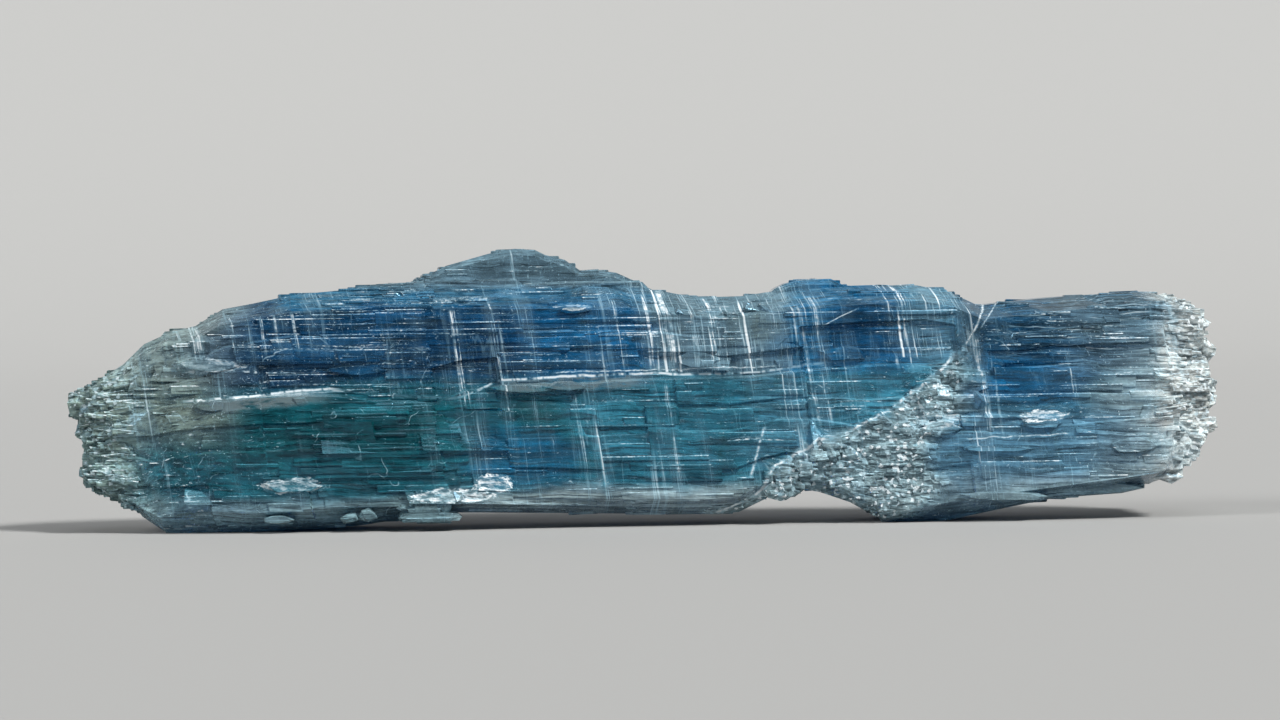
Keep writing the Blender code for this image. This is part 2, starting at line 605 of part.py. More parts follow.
def turned_to_rest(mesh):
    """Turns what is drawn about the left foot until both feet are level, and wears their undersides flat."""
    lean = np.arctan2(RIGHT_FOOT[1] - LEFT_FOOT[1], RIGHT_FOOT[0] - LEFT_FOOT[0])
    foot = Vector((LEFT_FOOT[0], 0.0, LEFT_FOOT[1] + FOOT_WEAR))
    bmesh.ops.translate(mesh, vec=-foot, verts=mesh.verts)
    bmesh.ops.transform(mesh, matrix=Matrix.Rotation(lean, 4, "Y"), verts=mesh.verts)
    for vert in mesh.verts:
        vert.co.z = max(vert.co.z, 0.0)
    return mesh


def new_object(name, mesh, collection):
    data = bpy.data.meshes.new(name)
    mesh.to_mesh(data)
    mesh.free()
    obj = bpy.data.objects.new(name, data)
    collection.objects.link(obj)
    return obj


def keep_main_shell(mesh):
    """Drops the closed pockets inside and any chip that lies free of the crystal."""
    remaining = set(mesh.verts)
    shells = []
    while remaining:
        shell = []
        reached = [remaining.pop()]
        while reached:
            vert = reached.pop()
            shell.append(vert)
            nearby = {edge.other_vert(vert) for edge in vert.link_edges} & remaining
            reached += nearby
            remaining -= nearby
        shells.append(shell)
    shells.sort(key=len)
    bmesh.ops.delete(mesh, geom=[vert for shell in shells[:-1] for vert in shell], context="VERTS")


def finished(body):
    """The mesh of the body as its Boolean leaves it, centred on its origin and in metres."""
    bpy.context.view_layer.update()
    mesh = bmesh.new()
    mesh.from_object(body, bpy.context.evaluated_depsgraph_get())
    keep_main_shell(mesh)
    bmesh.ops.dissolve_limit(mesh, angle_limit=FLAT_WITHIN, verts=mesh.verts, edges=mesh.edges)
    low = Vector(np.min([v.co for v in mesh.verts], axis=0))
    high = Vector(np.max([v.co for v in mesh.verts], axis=0))
    middle = (low + high) / 2
    bmesh.ops.translate(mesh, vec=-Vector((middle.x, middle.y, low.z)), verts=mesh.verts)
    bmesh.ops.scale(mesh, vec=Vector((MM, MM, MM)), verts=mesh.verts)
    return mesh


def kyanite_material():
    material = bpy.data.materials.new("kyanite")
    material.use_nodes = True
    shader = material.node_tree.nodes["Principled BSDF"]
    shader.inputs["Base Color"].default_value = DEEP_BLUE
    shader.inputs["Roughness"].default_value = 0.25
    shader.inputs["Metallic"].default_value = 0.0
    shader.inputs["IOR"].default_value = KYANITE_IOR
    shader.inputs["Transmission Weight"].default_value = 0.4
    return material


def main():
    for obj in list(bpy.data.objects):
        bpy.data.objects.remove(obj)
    scene = bpy.context.scene.collection
    body = new_object("kyanite_crystal", turned_to_rest(main_body()), scene)
    cluster = bpy.data.collections.new("growths")
    scene.children.link(cluster)
    for mesh in growths():
        new_object("growth", turned_to_rest(mesh), cluster)
    union = body.modifiers.new("grown_together", "BOOLEAN")
    union.operation = "UNION"
    union.operand_type = "COLLECTION"
    union.collection = cluster
    mesh = finished(body)
    body.modifiers.clear()
    for obj in list(cluster.objects):
        bpy.data.objects.remove(obj)
    bpy.data.collections.remove(cluster)
    mesh.to_mesh(body.data)
    mesh.free()
    body.data.materials.append(kyanite_material())


main()
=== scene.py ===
"""The looks of a kyanite blade cluster: its fine relief, its colour, cracks and flecks, and the studio.

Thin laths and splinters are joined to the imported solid's own mesh, which is then painted by procedures.
Sizes are in millimetres in the row frame: x along the blades from the middle, y from front to back, z up.
"""

import json
import random
from collections import namedtuple

import bmesh
import bpy
import numpy as np
from mathutils import Euler, Matrix, Vector
from mathutils.bvhtree import BVHTree

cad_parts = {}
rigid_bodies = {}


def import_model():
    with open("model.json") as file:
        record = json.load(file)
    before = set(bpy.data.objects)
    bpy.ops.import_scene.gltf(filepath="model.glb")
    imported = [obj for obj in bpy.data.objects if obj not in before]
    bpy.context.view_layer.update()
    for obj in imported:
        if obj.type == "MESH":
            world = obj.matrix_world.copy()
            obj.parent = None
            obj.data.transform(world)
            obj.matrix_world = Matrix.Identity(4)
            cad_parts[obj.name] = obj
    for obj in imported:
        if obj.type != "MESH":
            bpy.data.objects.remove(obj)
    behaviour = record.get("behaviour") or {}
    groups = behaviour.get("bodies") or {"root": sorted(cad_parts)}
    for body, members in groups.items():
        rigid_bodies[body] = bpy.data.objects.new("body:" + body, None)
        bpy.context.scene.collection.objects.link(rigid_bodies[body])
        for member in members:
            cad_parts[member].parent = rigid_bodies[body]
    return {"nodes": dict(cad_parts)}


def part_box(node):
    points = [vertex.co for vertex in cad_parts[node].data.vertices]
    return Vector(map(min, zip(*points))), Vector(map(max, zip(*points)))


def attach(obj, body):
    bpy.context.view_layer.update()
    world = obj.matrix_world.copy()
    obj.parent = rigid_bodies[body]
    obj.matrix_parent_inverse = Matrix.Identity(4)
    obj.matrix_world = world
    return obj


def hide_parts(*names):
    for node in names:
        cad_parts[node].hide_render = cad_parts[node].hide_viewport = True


MM = 0.001
NODE = "kyanite_crystal"

# No edge of the finished mesh is longer than this, so that each point can hold its own colour.
LONGEST_EDGE = 1.1
SPLIT_ROUNDS = 8
# Values kept for each face: a random tone, and how bright a highlight is painted on it as a rim.
FACE_VALUES = ("tone", "rim")
WHOLE_NUMBERS = ("vertices", "vertex_index", "polygon_index")

# How strongly the upper part of the right block is striated, as (x, share).
STRIATED = [(15.5, 0.0), (18.0, 0.5), (20.5, 1.0), (25.5, 1.0), (27.5, 0.3)]
# The levels between which it sets in.
STRIATED_FROM = (6.5, 9.0)
# The levels between which the break's pale upper line fades.
BREAK_FADES = (8.0, 9.5)
# Between these x, the surface turns granular at each end, and how granular it gets at the left end.
GRANULAR_LEFT, GRANULAR_RIGHT = (-26.6, -23.4), (24.6, 27.4)
GRANULAR_LEFT_SHARE = 0.8
# Between these heights of its normal, a face begins to count as facing up, for the pale sheen painted on it
# as if lit from above.
FACES_UP = (0.45, 0.8)
# The rays that find the surface start this far out from the crystal's middle, which is at this height.
RAY_START = 40.0
MIDDLE_HEIGHT = 7.0

# Thin cleavage laths that lie flat on the solid: how many are tried, where, the way that they face, and
# their least and most length, height and rise. They are rooted in the solid, and their rims slope.
Laths = namedtuple("Laths", "count left right low high way lengths heights rises seed")
LATHS = [
    Laths(900, -28.0, 26.5, 0.3, 13.6, (0, -1, 0), (0.8, 9.0), (0.10, 1.1), (0.01, 0.06), 1),
    Laths(600, -28.0, 26.5, 0.3, 13.6, (0, 1, 0), (0.8, 9.0), (0.10, 1.1), (0.01, 0.06), 2),
    Laths(300, -27.0, 27.0, -3.4, 3.2, (0, 0, 1), (0.6, 5.0), (0.1, 0.7), (0.01, 0.06), 3),
    Laths(200, -26.0, 27.0, -3.4, 3.2, (0, 0, -1), (0.6, 5.0), (0.1, 0.7), (0.01, 0.05), 4),
]
# Splinters are the short laths of the broken parts. They stand out further, and each is turned its own way.
SPLINTERS = [
    Laths(1700, 1.0, 17.0, 0.2, 9.5, (0, -1, 0), (0.2, 1.0), (0.08, 0.36), (0.01, 0.08), 10),
    Laths(500, 23.0, 28.6, 0.2, 12.5, (0, -1, 0), (0.4, 1.8), (0.08, 0.30), (0.01, 0.06), 11),
    Laths(500, 23.0, 28.6, 0.2, 12.5, (0, 1, 0), (0.4, 1.8), (0.08, 0.30), (0.01, 0.06), 12),
    Laths(700, -3.5, 3.5, 1.0, 11.8, (1, 0, 0), (0.2, 0.9), (0.10, 0.40), (0.02, 0.10), 13),
    Laths(600, -28.6, -23.0, 1.0, 10.0, (0, -1, 0), (0.3, 1.6), (0.08, 0.34), (0.02, 0.10), 14),
    Laths(500, -28.6, -23.0, 1.0, 10.0, (0, 1, 0), (0.3, 1.6), (0.08, 0.34), (0.02, 0.10), 15),
    Laths(400, -3.0, 3.0, 1.0, 8.0, (-1, 0, 0), (0.2, 0.9), (0.10, 0.36), (0.02, 0.12), 16),
    Laths(250, 23.0, 28.6, -3.4, 3.2, (0, 0, 1), (0.3, 1.4), (0.10, 0.36), (0.01, 0.07), 17),
]
LATH_ROOT = 0.4
LATH_RIM = 0.04
# How far a lath's corners are shifted lengthwise, as a share of its half height.
LATH_RAGGED = 0.5
# The most that the solid may rise or fall under a lath, and under a splinter.
LATH_FLATNESS = 0.16
SPLINTER_FLATNESS = 0.6
# A lath that doesn't lie flat is made shorter and lower and tried again.
LATH_TRIES = 4
SHORTER = 0.6
LOWER = 0.8
# The most that a lath's end or long edge is lifted, and the most that a splinter is turned, in radians.
LATH_LIFT = 0.03
SPLINTER_TURN = 0.2
# The share of the laths whose right end is put on one crack plane, and the x of that plane. More planes
# would spread these laths along the whole crystal.
SNAP_CHANCE = 0.5
SNAP_PLANE = -10.189197934176068
# How bright a highlight is painted on a lath's rims: the lower one, the right end, the upper one and the
# left end.
# The upper rim gets the brightest, as if lit from above.
RIM_HIGHLIGHTS = [0.5, 0.35, 1.0, 0.35]
# Where on the solid's own mesh a face is the narrow rim of a step, and how bright a highlight is painted
# there.
RIM_DEPTH = 0.5
SOLID_RIM_HIGHLIGHT = 0.7

# Crack planes lean back as they rise and turn as they go back. Their x is given at this level, on the front.
LEAN = 0.13
TURN = 0.2
CRACK_LEVEL = 6.5
FRONT_FACE = -3.0

# Colours of the crystal, as linear albedo.
INK = (0.002, 0.018, 0.05)
NAVY = (0.002, 0.048, 0.12)
BLUE = (0.003, 0.10, 0.23)
# A lighter blue for the top bevel, painted as if it caught light from above.
LIT_BEVEL_BLUE = (0.017, 0.115, 0.21)
GREEN_TEAL = (0.003, 0.070, 0.082)
TEAL = (0.012, 0.12, 0.155)
STEEL = (0.035, 0.18, 0.25)
SLATE = (0.11, 0.25, 0.35)
GREY = (0.12, 0.19, 0.225)
PALE = (0.28, 0.37, 0.385)
CREAM = (0.56, 0.57, 0.54)
OLIVE = (0.16, 0.21, 0.18)
MILK = (0.25, 0.42, 0.52)
ICE = (0.36, 0.64, 0.78)
WHITE = (0.88, 0.94, 0.97)
# Pale flakes and crusts on the front: the middle of each, its half length and half height, and its paleness.
Flake = namedtuple("Flake", "x z half_length half_height strength")
FLAKES = [
    Flake(-21.3, 8.3, 2.0, 0.42, 0.7),
    Flake(-17.2, 2.35, 1.8, 0.42, 0.85),
    Flake(-9.2, 1.75, 2.4, 0.38, 1.0),
    Flake(-7.3, 2.3, 1.1, 0.55, 1.1),
    Flake(14.8, 5.0, 1.3, 0.45, 0.85),
    Flake(19.8, 5.2, 1.3, 0.32, 1.1),
    Flake(-3.3, 10.95, 1.0, 0.2, 0.8),
    Flake(26.6, 3.6, 1.2, 1.4, 0.5),
]

# The glass takes away part of the colour, so the albedo is made this much lighter.
GAIN = 1.5

# Broad zones of colour on the front, painted in this order: the box, how softly it ends, and its share.
Zone = namedtuple("Zone", "left right low high soft colour share")
ZONES = [
    Zone(-29, 29, 0.0, 14.0, 0.5, STEEL, 1.0),
    # the lower blade
    Zone(-27.5, 8.0, 0.0, 7.2, 1.2, TEAL, 0.9),
    Zone(-24.0, -9.0, 3.0, 6.4, 1.6, GREEN_TEAL, 1.0),
    Zone(-25.0, -8.5, -1.0, 1.6, 0.35, PALE, 0.6),
    Zone(-9.0, 6.5, -1.0, 2.0, 0.4, PALE, 1.0),
    Zone(-6.5, -3.4, 4.2, 7.0, 0.7, GREEN_TEAL, 0.9),
    Zone(-8.0, -3.8, 2.4, 4.8, 0.7, BLUE, 0.6),
    Zone(-3.0, 6.0, 2.2, 7.2, 1.0, STEEL, 0.6),
    Zone(5.6, 9.6, 2.4, 7.2, 0.8, SLATE, 0.35),
    # the upper blade
    Zone(-22.0, 0.8, 7.4, 11.9, 0.5, NAVY, 1.0),
    Zone(-22.5, -15.5, 7.2, 8.2, 0.35, INK, 0.9),
    Zone(-12.0, -5.5, 7.6, 9.8, 0.6, INK, 0.5),
    Zone(-5.6, 0.4, 7.8, 10.9, 0.9, BLUE, 0.85),
    # the top bevel, painted a lighter blue as if lit from above
    Zone(-17.5, 0.8, 11.1, 12.7, 0.3, LIT_BEVEL_BLUE, 0.9),
    # the pale streaked part in the middle
    Zone(0.6, 7.4, 7.6, 12.3, 0.4, GREY, 0.9),
    Zone(5.3, 7.3, 9.0, 10.6, 0.5, OLIVE, 0.7),
    # the blue beyond it
    Zone(7.3, 13.4, 7.6, 12.6, 0.7, BLUE, 0.9),
    Zone(9.4, 12.8, 8.1, 11.0, 0.5, NAVY, 0.9),
    Zone(13.4, 16.3, 7.8, 12.4, 0.6, SLATE, 0.8),
    # the right block
    Zone(16.2, 26.0, 7.6, 11.9, 0.6, NAVY, 0.9),
    Zone(16.5, 22.5, 5.8, 8.0, 0.7, BLUE, 0.9),
    Zone(14.0, 26.0, 1.4, 5.6, 0.7, SLATE, 0.85),
    Zone(21.0, 27.4, 7.0, 10.8, 1.2, GREY, 0.45),
    Zone(22.5, 27.5, 2.0, 8.0, 1.6, PALE, 0.5),
    # the ends, the hump behind and the bottom of the right foot
    Zone(13.0, 25.5, 0.2, 2.2, 0.5, PALE, 0.75),
    Zone(20.5, 26.5, 8.4, 11.4, 1.0, GREY, 0.5),
    Zone(23.5, 30.0, 0.0, 8.5, 1.2, PALE, 0.6),
    Zone(25.8, 30.0, 0.0, 14.0, 0.8, CREAM, 0.85),
    Zone(-30.0, -21.0, 4.8, 12.0, 1.2, OLIVE, 1.0),
    Zone(-26.0, -19.5, 7.6, 12.0, 0.9, PALE, 0.4),
    Zone(-30.0, -24.6, 0.0, 6.5, 1.2, OLIVE, 0.85),
    Zone(-13.0, 1.5, 12.0, 14.2, 0.25, GREY, 0.95),
    Zone(10.0, 16.0, 0.0, 2.0, 0.5, GREY, 0.7),
]

# The break that crosses the front, as (z, x): beyond it, the surface is granular.
BREAK_LINE = [
    (0.0, 2.0), (1.5, 5.5), (2.8, 6.6), (3.8, 8.6), (4.9, 10.6), (5.9, 12.4), (6.9, 14.1), (7.9, 15.4),
    (9.0, 16.4), (11.5, 16.6),
]
BREAK_WIDTH = [(0.0, 10.5), (2.0, 9.0), (3.5, 6.4), (5.0, 4.6), (6.5, 2.8), (8.0, 0.9), (9.5, 0.0)]

# Where cracks cross the blades densely, as (x, how densely), above and below the ledge.
STREAKS_ABOVE = [
    (-29.0, 0.15), (-24.0, 0.3), (-18.0, 0.25), (-16.0, 0.3), (-9.0, 0.3), (-3.0, 0.2), (0.4, 0.4),
    (0.8, 1.0), (7.0, 1.0), (8.0, 0.6), (9.4, 0.9), (10.0, 0.25), (12.6, 0.3), (13.0, 0.9), (16.5, 0.9),
    (17.5, 0.2), (24.0, 0.1), (29.0, 0.2),
]
STREAKS_BELOW = [
    (-29.0, 0.2), (-24.0, 0.3), (-18.0, 0.05), (-10.0, 0.1), (-7.0, 0.35), (-1.0, 0.3), (3.0, 0.1),
    (6.0, 0.4), (10.0, 0.5), (11.0, 0.1), (16.0, 0.2), (16.6, 0.8), (17.6, 0.1), (21.5, 0.2), (23.0, 0.05),
    (29.0, 0.1),
]
# Where a pale band lies under the ledge, as (x, its share).
BANDED = [
    (-22.5, 0.0), (-21.0, 0.9), (-17.0, 0.9), (-15.0, 0.0), (-7.2, 0.0), (-6.4, 0.8), (-0.5, 0.8),
    (0.6, 0.0),
]
# Where curved fractures show through the glass, as (x, how densely).
FRACTURED = [
    (-29.0, 0.8), (-19.0, 0.6), (-10.0, 0.9), (-5.0, 0.2), (0.0, -0.4), (13.0, 0.0), (17.0, 0.4),
    (29.0, 0.2),
]
# Where flecks and the glints painted on cleavage steps are dense, as (x, how densely), above and below the
# ledge.
FLECKS_ABOVE = [
    (-29.0, 1.1), (-24.0, 1.1), (-18.0, 0.9), (-10.0, 0.6), (-2.0, 0.5), (0.6, 0.7), (7.0, 0.7), (9.0, 0.4),
    (13.0, 0.4), (16.5, 0.7), (20.0, 0.5), (22.0, 1.0), (29.0, 1.0),
]
FLECKS_BELOW = [
    (-29.0, 1.2), (-23.0, 1.0), (-20.0, 0.3), (-17.0, 0.0), (-11.0, 0.0), (-8.0, 0.3), (4.0, 0.3),
    (8.0, 0.6), (14.0, 0.7), (17.0, 0.5), (21.0, 0.6), (24.0, 1.0), (29.0, 1.0),
]

# The line of the ledge between the upper and the lower blade, as (x, z), along which a glint is painted.
LEDGE_LINE = [
    (-29.0, 5.6), (-22.1, 6.6), (-19.0, 6.8), (-17.0, 7.0), (-15.5, 7.1), (-12.2, 6.7), (-9.0, 6.5),
    (-7.0, 7.35), (-4.2, 7.5), (0.6, 7.6), (3.0, 7.5), (6.5, 7.6), (8.2, 7.9), (10.5, 8.1), (13.0, 8.2),
    (16.0, 8.2), (29.0, 8.2),
]

# How bright the glint painted along that line is, as (x, share).
LEDGE_GLINT = [
    (-23.0, 0.0), (-22.0, 1.0), (-15.5, 1.0), (-14.5, 0.2), (-9.0, 0.3), (-8.0, 0.7), (-5.0, 1.0),
    (6.0, 0.7), (9.0, 0.4), (12.5, 0.0),
]

# Single cracks across the blades: where each meets mid-height, from where to where, and its half width.
Crack = namedtuple("Crack", "x low high width strength")
CRACKS = [
    Crack(-8.55, 6.2, 11.0, 0.09, 1.0),
    Crack(-6.6, 5.0, 11.4, 0.05, 0.8),
    Crack(-16.4, 9.0, 11.0, 0.05, 0.7),
    Crack(-0.55, 7.8, 11.4, 0.05, 0.7),
    Crack(1.0, 7.8, 11.6, 0.08, 0.9),
    Crack(2.0, 7.8, 11.8, 0.12, 0.9),
    Crack(3.2, 7.9, 11.8, 0.06, 0.8),
    Crack(4.2, 8.0, 11.4, 0.08, 1.0),
    Crack(4.8, 8.0, 11.0, 0.05, 0.8),
    Crack(8.7, 5.0, 11.4, 0.07, 0.8),
    Crack(9.3, 5.0, 11.4, 0.06, 0.7),
    Crack(13.0, 7.8, 12.0, 0.06, 0.8),
    Crack(13.7, 7.8, 12.2, 0.08, 0.9),
    Crack(16.9, 4.4, 9.2, 0.09, 0.9),
    Crack(17.5, 4.2, 9.0, 0.05, 0.5),
    Crack(21.4, 6.0, 8.6, 0.05, 0.8),
    Crack(1.4, 1.9, 7.2, 0.06, 0.7),
    Crack(-3.2, 2.4, 6.8, 0.06, 0.6),
    Crack(-22.2, 8.6, 10.2, 0.09, 0.7),
    Crack(-21.3, 8.6, 10.5, 0.15, 0.8),
    Crack(-19.5, 9.0, 10.9, 0.05, 0.9),
    Crack(-18.6, 9.2, 10.9, 0.05, 0.7),
    Crack(-18.0, 8.9, 10.8, 0.04, 0.8),
    Crack(-17.3, 9.3, 10.9, 0.05, 0.7),
]

# Veins: crooked white lines over the front, from one place to another.
Vein = namedtuple("Vein", "start end width strength")
VEINS = [
    Vein((17.3, 11.1), (16.0, 8.6), 0.07, 1.0),
    Vein((18.0, 11.1), (16.6, 9.4), 0.05, 0.8),
    Vein((9.0, 9.8), (10.9, 10.7), 0.04, 0.9),
    Vein((6.1, 4.9), (5.3, 2.2), 0.1, 0.8),
    Vein((-20.5, 6.7), (-14.0, 7.0), 0.09, 0.7),
    Vein((-4.3, 7.7), (7.0, 7.85), 0.05, 0.9),
    Vein((16.0, 4.15), (21.2, 4.3), 0.05, 0.9),
]

# The teal lens, where the highlights painted on the rims of laths are faint: where it starts and ends, each
# over a short way.
LENS_LEFT, LENS_RIGHT = (-23.5, -20.5), (-10.0, -7.5)
LENS_LOW, LENS_HIGH = (2.2, 3.4), (5.8, 6.8)
LENS_CALM = 0.75

# The crystal's glass and relief.
IOR = 1.72
SPECULAR_LEVEL = 0.3
SPECULAR_TINT = (0.4, 0.75, 1.0, 1.0)
CLEAREST = 0.6
ABSORPTION_COLOUR = (0.10, 0.45, 0.75, 1.0)
ABSORPTION_DENSITY = 420.0
BUMP_DEPTH = 0.025

# The studio, in metres, with its paper's albedo.
FLOOR_FRONT, FLOOR_BACK, FLOOR_HALF_WIDTH, WALL_TOP = -0.5, 0.25, 0.9, 0.9
SWEEP_RADIUS, SWEEP_PARTS = 0.30, 25
PAPER = (0.34, 0.34, 0.335)
PAPER_ROUGHNESS = 0.9
SKY = (0.80, 0.86, 0.95, 1.0)
SKY_STRENGTH = 0.12
LIGHT_DISTANCE = 0.4

# Distant soft lights: elevation, azimuth and softness are in degrees. Azimuth 0 is the front, 90 the right.
Sun = namedtuple("Sun", "name elevation azimuth strength softness colour")
SUNS = [
    Sun("key", 44.0, 50.0, 4.0, 12.0, (1.0, 0.99, 0.97)),
    Sun("fill", 30.0, -60.0, 1.4, 20.0, (1.0, 0.99, 0.98)),
    Sun("top", 70.0, 20.0, 0.7, 40.0, (0.95, 0.98, 1.0)),
    Sun("rim", 35.0, 160.0, 0.8, 10.0, (1.0, 1.0, 1.0)),
]


def along(line, x):
    """The values at every x of a line through points."""
    return np.interp(x, *zip(*line))


def hashed(cells, seed):
    """A number from 0 to 1 for each whole-numbered cell."""
    x, y, z = (cells[..., i].astype(np.int64).astype(np.uint64) for i in range(3))
    mixed = x * np.uint64(73856093) ^ y * np.uint64(19349663) ^ z * np.uint64(83492791)
    mixed ^= np.uint64(seed) * np.uint64(2654435761)
    mixed = (mixed ^ (mixed >> np.uint64(15))) * np.uint64(2246822519)
    mixed = (mixed ^ (mixed >> np.uint64(13))) * np.uint64(3266489917)
    return ((mixed >> np.uint64(16)) & np.uint64(0xFFFF)).astype(float) / 0xFFFF


def smooth(t):
    return t * t * (3 - 2 * t)


def step(low, high, values):
    return smooth(np.clip((values - low) / (high - low), 0.0, 1.0))


def noise(places, seed):
    """Smooth noise from -1 to 1, with features about as large as 1."""
    corner = np.floor(places)
    t = smooth(places - corner)
    total = np.zeros(len(places))
    for offset in np.ndindex(2, 2, 2):
        weight = np.prod(np.where(offset, t, 1 - t), axis=1)
        total += weight * hashed(corner + offset, seed)
    return 2 * total - 1


def fractal(places, seed, octaves=3):
    total = np.zeros(len(places))
    for i in range(octaves):
        total += noise(places * 2.0**i, seed + i) / 2.0**i
    return total


def beyond_break(places):
    """How far past the line of the break a place is. The line is a little crooked."""
    return places[:, 0] + 0.5 * fractal(places * 0.7, 90) - along(BREAK_LINE, places[:, 2])


def past_break(places):
    """From 0 to 1, how far inside the granular break of the front a place is."""
    _, y, z = places.T
    beyond = beyond_break(places)
    inside = step(-0.3, 0.3, beyond) * (1 - step(-0.8, 0.6, beyond - along(BREAK_WIDTH, z)))
    return inside * (y < 0)


def granular(places):
    """From 0 to 1, how granular the surface is: at the ends and past the break."""
    x, y, z = places.T
    wobble = 0.8 * fractal(places * 0.5, 70)
    left_end = GRANULAR_LEFT_SHARE * (1 - step(*GRANULAR_LEFT, x + wobble))
    ends = np.maximum(step(*GRANULAR_RIGHT, x + wobble), left_end)
    return np.maximum(ends, past_break(places))


def struck(surface, x, across, way):
    """Where a ray that comes in against this way, at x and at a place across it, meets the surface."""
    way = Vector(way)
    if way.x:
        start = Vector((0.0, x, across))
    elif way.y:
        start = Vector((x, 0.0, across))
    else:
        start = Vector((x, across, MIDDLE_HEIGHT))
    return surface.ray_cast(start + way * RAY_START, -way)[0]


def lies_flat(surface, field, hit, x, across, half_length, half_height, flatness):
    """Whether the surface is nearly level under the whole of a lath."""
    for side in (-1, 1):
        for level in (-1, 1):
            corner = struck(surface, x + side * half_length, across + level * half_height, field.way)
            if corner is None or abs((corner - hit).dot(Vector(field.way))) > flatness:
                return False
    return True


def face_attribute(mesh, name, values):
    attribute = mesh.attributes.new(name, "FLOAT", "FACE")
    attribute.data.foreach_set("value", np.array(values, np.float32))


def lath(place, way, half_length, half_height, rise, turned, shifts, tone, collection):
    """A thin blade with sloping rims. Each corner has its own shift lengthwise, so its ends are ragged."""
    out = Vector(way)
    side_way = Vector((0.0, 1.0, 0.0)) if out.x else Vector((1.0, 0.0, 0.0))
    up = Vector((0.0, 1.0, 0.0)) if out.z else Vector((0.0, 0.0, 1.0))
    points = []
    for depth, inset in ((-LATH_ROOT, 0.0), (rise - LATH_RIM, 0.0), (rise, LATH_RIM)):
        for (side, level), shift in zip(((-1, -1), (1, -1), (1, 1), (-1, 1)), shifts):
            lengthwise = side * (half_length - inset) + shift - LEAN * level * half_height
            offset = out * depth + up * level * (half_height - inset) + side_way * lengthwise
            points.append(place + turned @ offset)
    faces = [(0, 1, 2, 3), (11, 10, 9, 8)]
    for ring in (0, 4):
        faces += [(ring + i, ring + 4 + i, ring + 4 + (i + 1) % 4, ring + (i + 1) % 4) for i in range(4)]
    flip = side_way.cross(up).dot(out) > 0
    mesh = bpy.data.meshes.new("growth")
    mesh.from_pydata(points, [], [face[::-1] for face in faces] if flip else faces)
    face_attribute(mesh, "tone", [tone] * len(faces))
    # Its rims get a painted highlight, the upper one brightest as if lit from above.
    face_attribute(mesh, "rim", [0.0, 0.0] + RIM_HIGHLIGHTS * 2)
    collection.objects.link(bpy.data.objects.new("growth", mesh))


def mostly_small(chance, least, most):
    """A random number between the two, mostly nearer to the least."""
    return least + (most - least) * chance.random() ** 2


def grow_laths(surface, collection):
    """The cleavage laths. About half of them end on one crack plane."""
    for field in LATHS:
        chance = random.Random(field.seed)
        for _ in range(field.count):
            x = chance.uniform(field.left, field.right)
            across = chance.uniform(field.low, field.high)
            half_length = mostly_small(chance, *field.lengths) / 2
            half_height = mostly_small(chance, *field.heights) / 2
            rise = chance.uniform(*field.rises)
            shifts = [chance.uniform(-LATH_RAGGED, LATH_RAGGED) * half_height for _ in range(4)]
            lifts = [chance.uniform(-LATH_LIFT, LATH_LIFT) / half for half in (half_length, half_height)]
            tone = chance.gauss(0.0, 1.0)
            if chance.random() < SNAP_CHANCE:
                level = across if field.way[1] else CRACK_LEVEL
                x = SNAP_PLANE - half_length - LEAN * (level - CRACK_LEVEL)
            hit = struck(surface, x, across, field.way)
            if hit is None or granular(np.array([hit]))[0] > 0.5:
                continue
            for _ in range(LATH_TRIES):
                if lies_flat(surface, field, hit, x, across, half_length, half_height, LATH_FLATNESS):
                    axis = Vector((0.0, 1.0, 0.0)) if field.way[2] else Vector((0.0, 0.0, 1.0))
                    turned = Matrix.Rotation(lifts[0], 3, axis) @ Matrix.Rotation(lifts[1], 3, "X")
                    lath(hit, field.way, half_length, half_height, rise, turned, shifts, tone, collection)
                    break
                half_length, half_height = half_length * SHORTER, half_height * LOWER


def grow_splinters(surface, collection):
    """The short laths of the broken parts."""
    for field in SPLINTERS:
        chance = random.Random(field.seed)
        for _ in range(field.count):
            x = chance.uniform(field.left, field.right)
            across = chance.uniform(field.low, field.high)
            half_length = chance.uniform(*field.lengths) / 2
            half_height = chance.uniform(*field.heights) / 2
            rise = chance.uniform(*field.rises)
            shifts = [chance.uniform(-LATH_RAGGED, LATH_RAGGED) * half_height for _ in range(4)]
            turns = [chance.uniform(-SPLINTER_TURN, SPLINTER_TURN) for _ in range(3)]
            tone = chance.gauss(0.0, 1.0)
            hit = struck(surface, x, across, field.way)
            if hit is None or granular(np.array([hit]))[0] < 0.5:
                continue
            if lies_flat(surface, field, hit, x, across, half_length, half_height, SPLINTER_FLATNESS):
                turned = Euler(turns).to_matrix()
                lath(hit, field.way, half_length, half_height, rise, turned, shifts, tone, collection)


def with_own_diagonals(points, triangles, face_of):
    """Where two faces were cut into triangles along the same line, each gets its own middle on that line.

    Every edge then joins two triangles, so the mesh stays closed.
    """
    points, triangles, face_of = list(points), [list(triangle) for triangle in triangles], list(face_of)
    while True:
        ends = np.array(triangles)[:, [[0, 1], [1, 2], [2, 0]]].reshape(-1, 2)
        _, which, count = np.unique(np.sort(ends, axis=1), axis=0, return_inverse=True, return_counts=True)
        shared = {}
        for side in np.flatnonzero(count[which.ravel()] > 2):
            shared.setdefault((which.ravel()[side], face_of[side // 3]), []).append(side)
        touched = set()
        for sides in shared.values():
            owners = {side // 3 for side in sides}
            if len(sides) != 2 or owners & touched:
                continue
            touched |= owners
            start, end = (points[i] for i in ends[sides[0]])
            points.append(start + (end - start) * (0.4 + 0.2 * (len(touched) % 3) / 2))
            for side in sides:
                a, b, c = (triangles[side // 3][(side + i) % 3] for i in range(3))
                triangles[side // 3] = [a, len(points) - 1, c]
                triangles.append([len(points) - 1, b, c])
                face_of.append(face_of[side // 3])
        if not touched:
            return np.array(points), np.array(triangles), np.array(face_of)


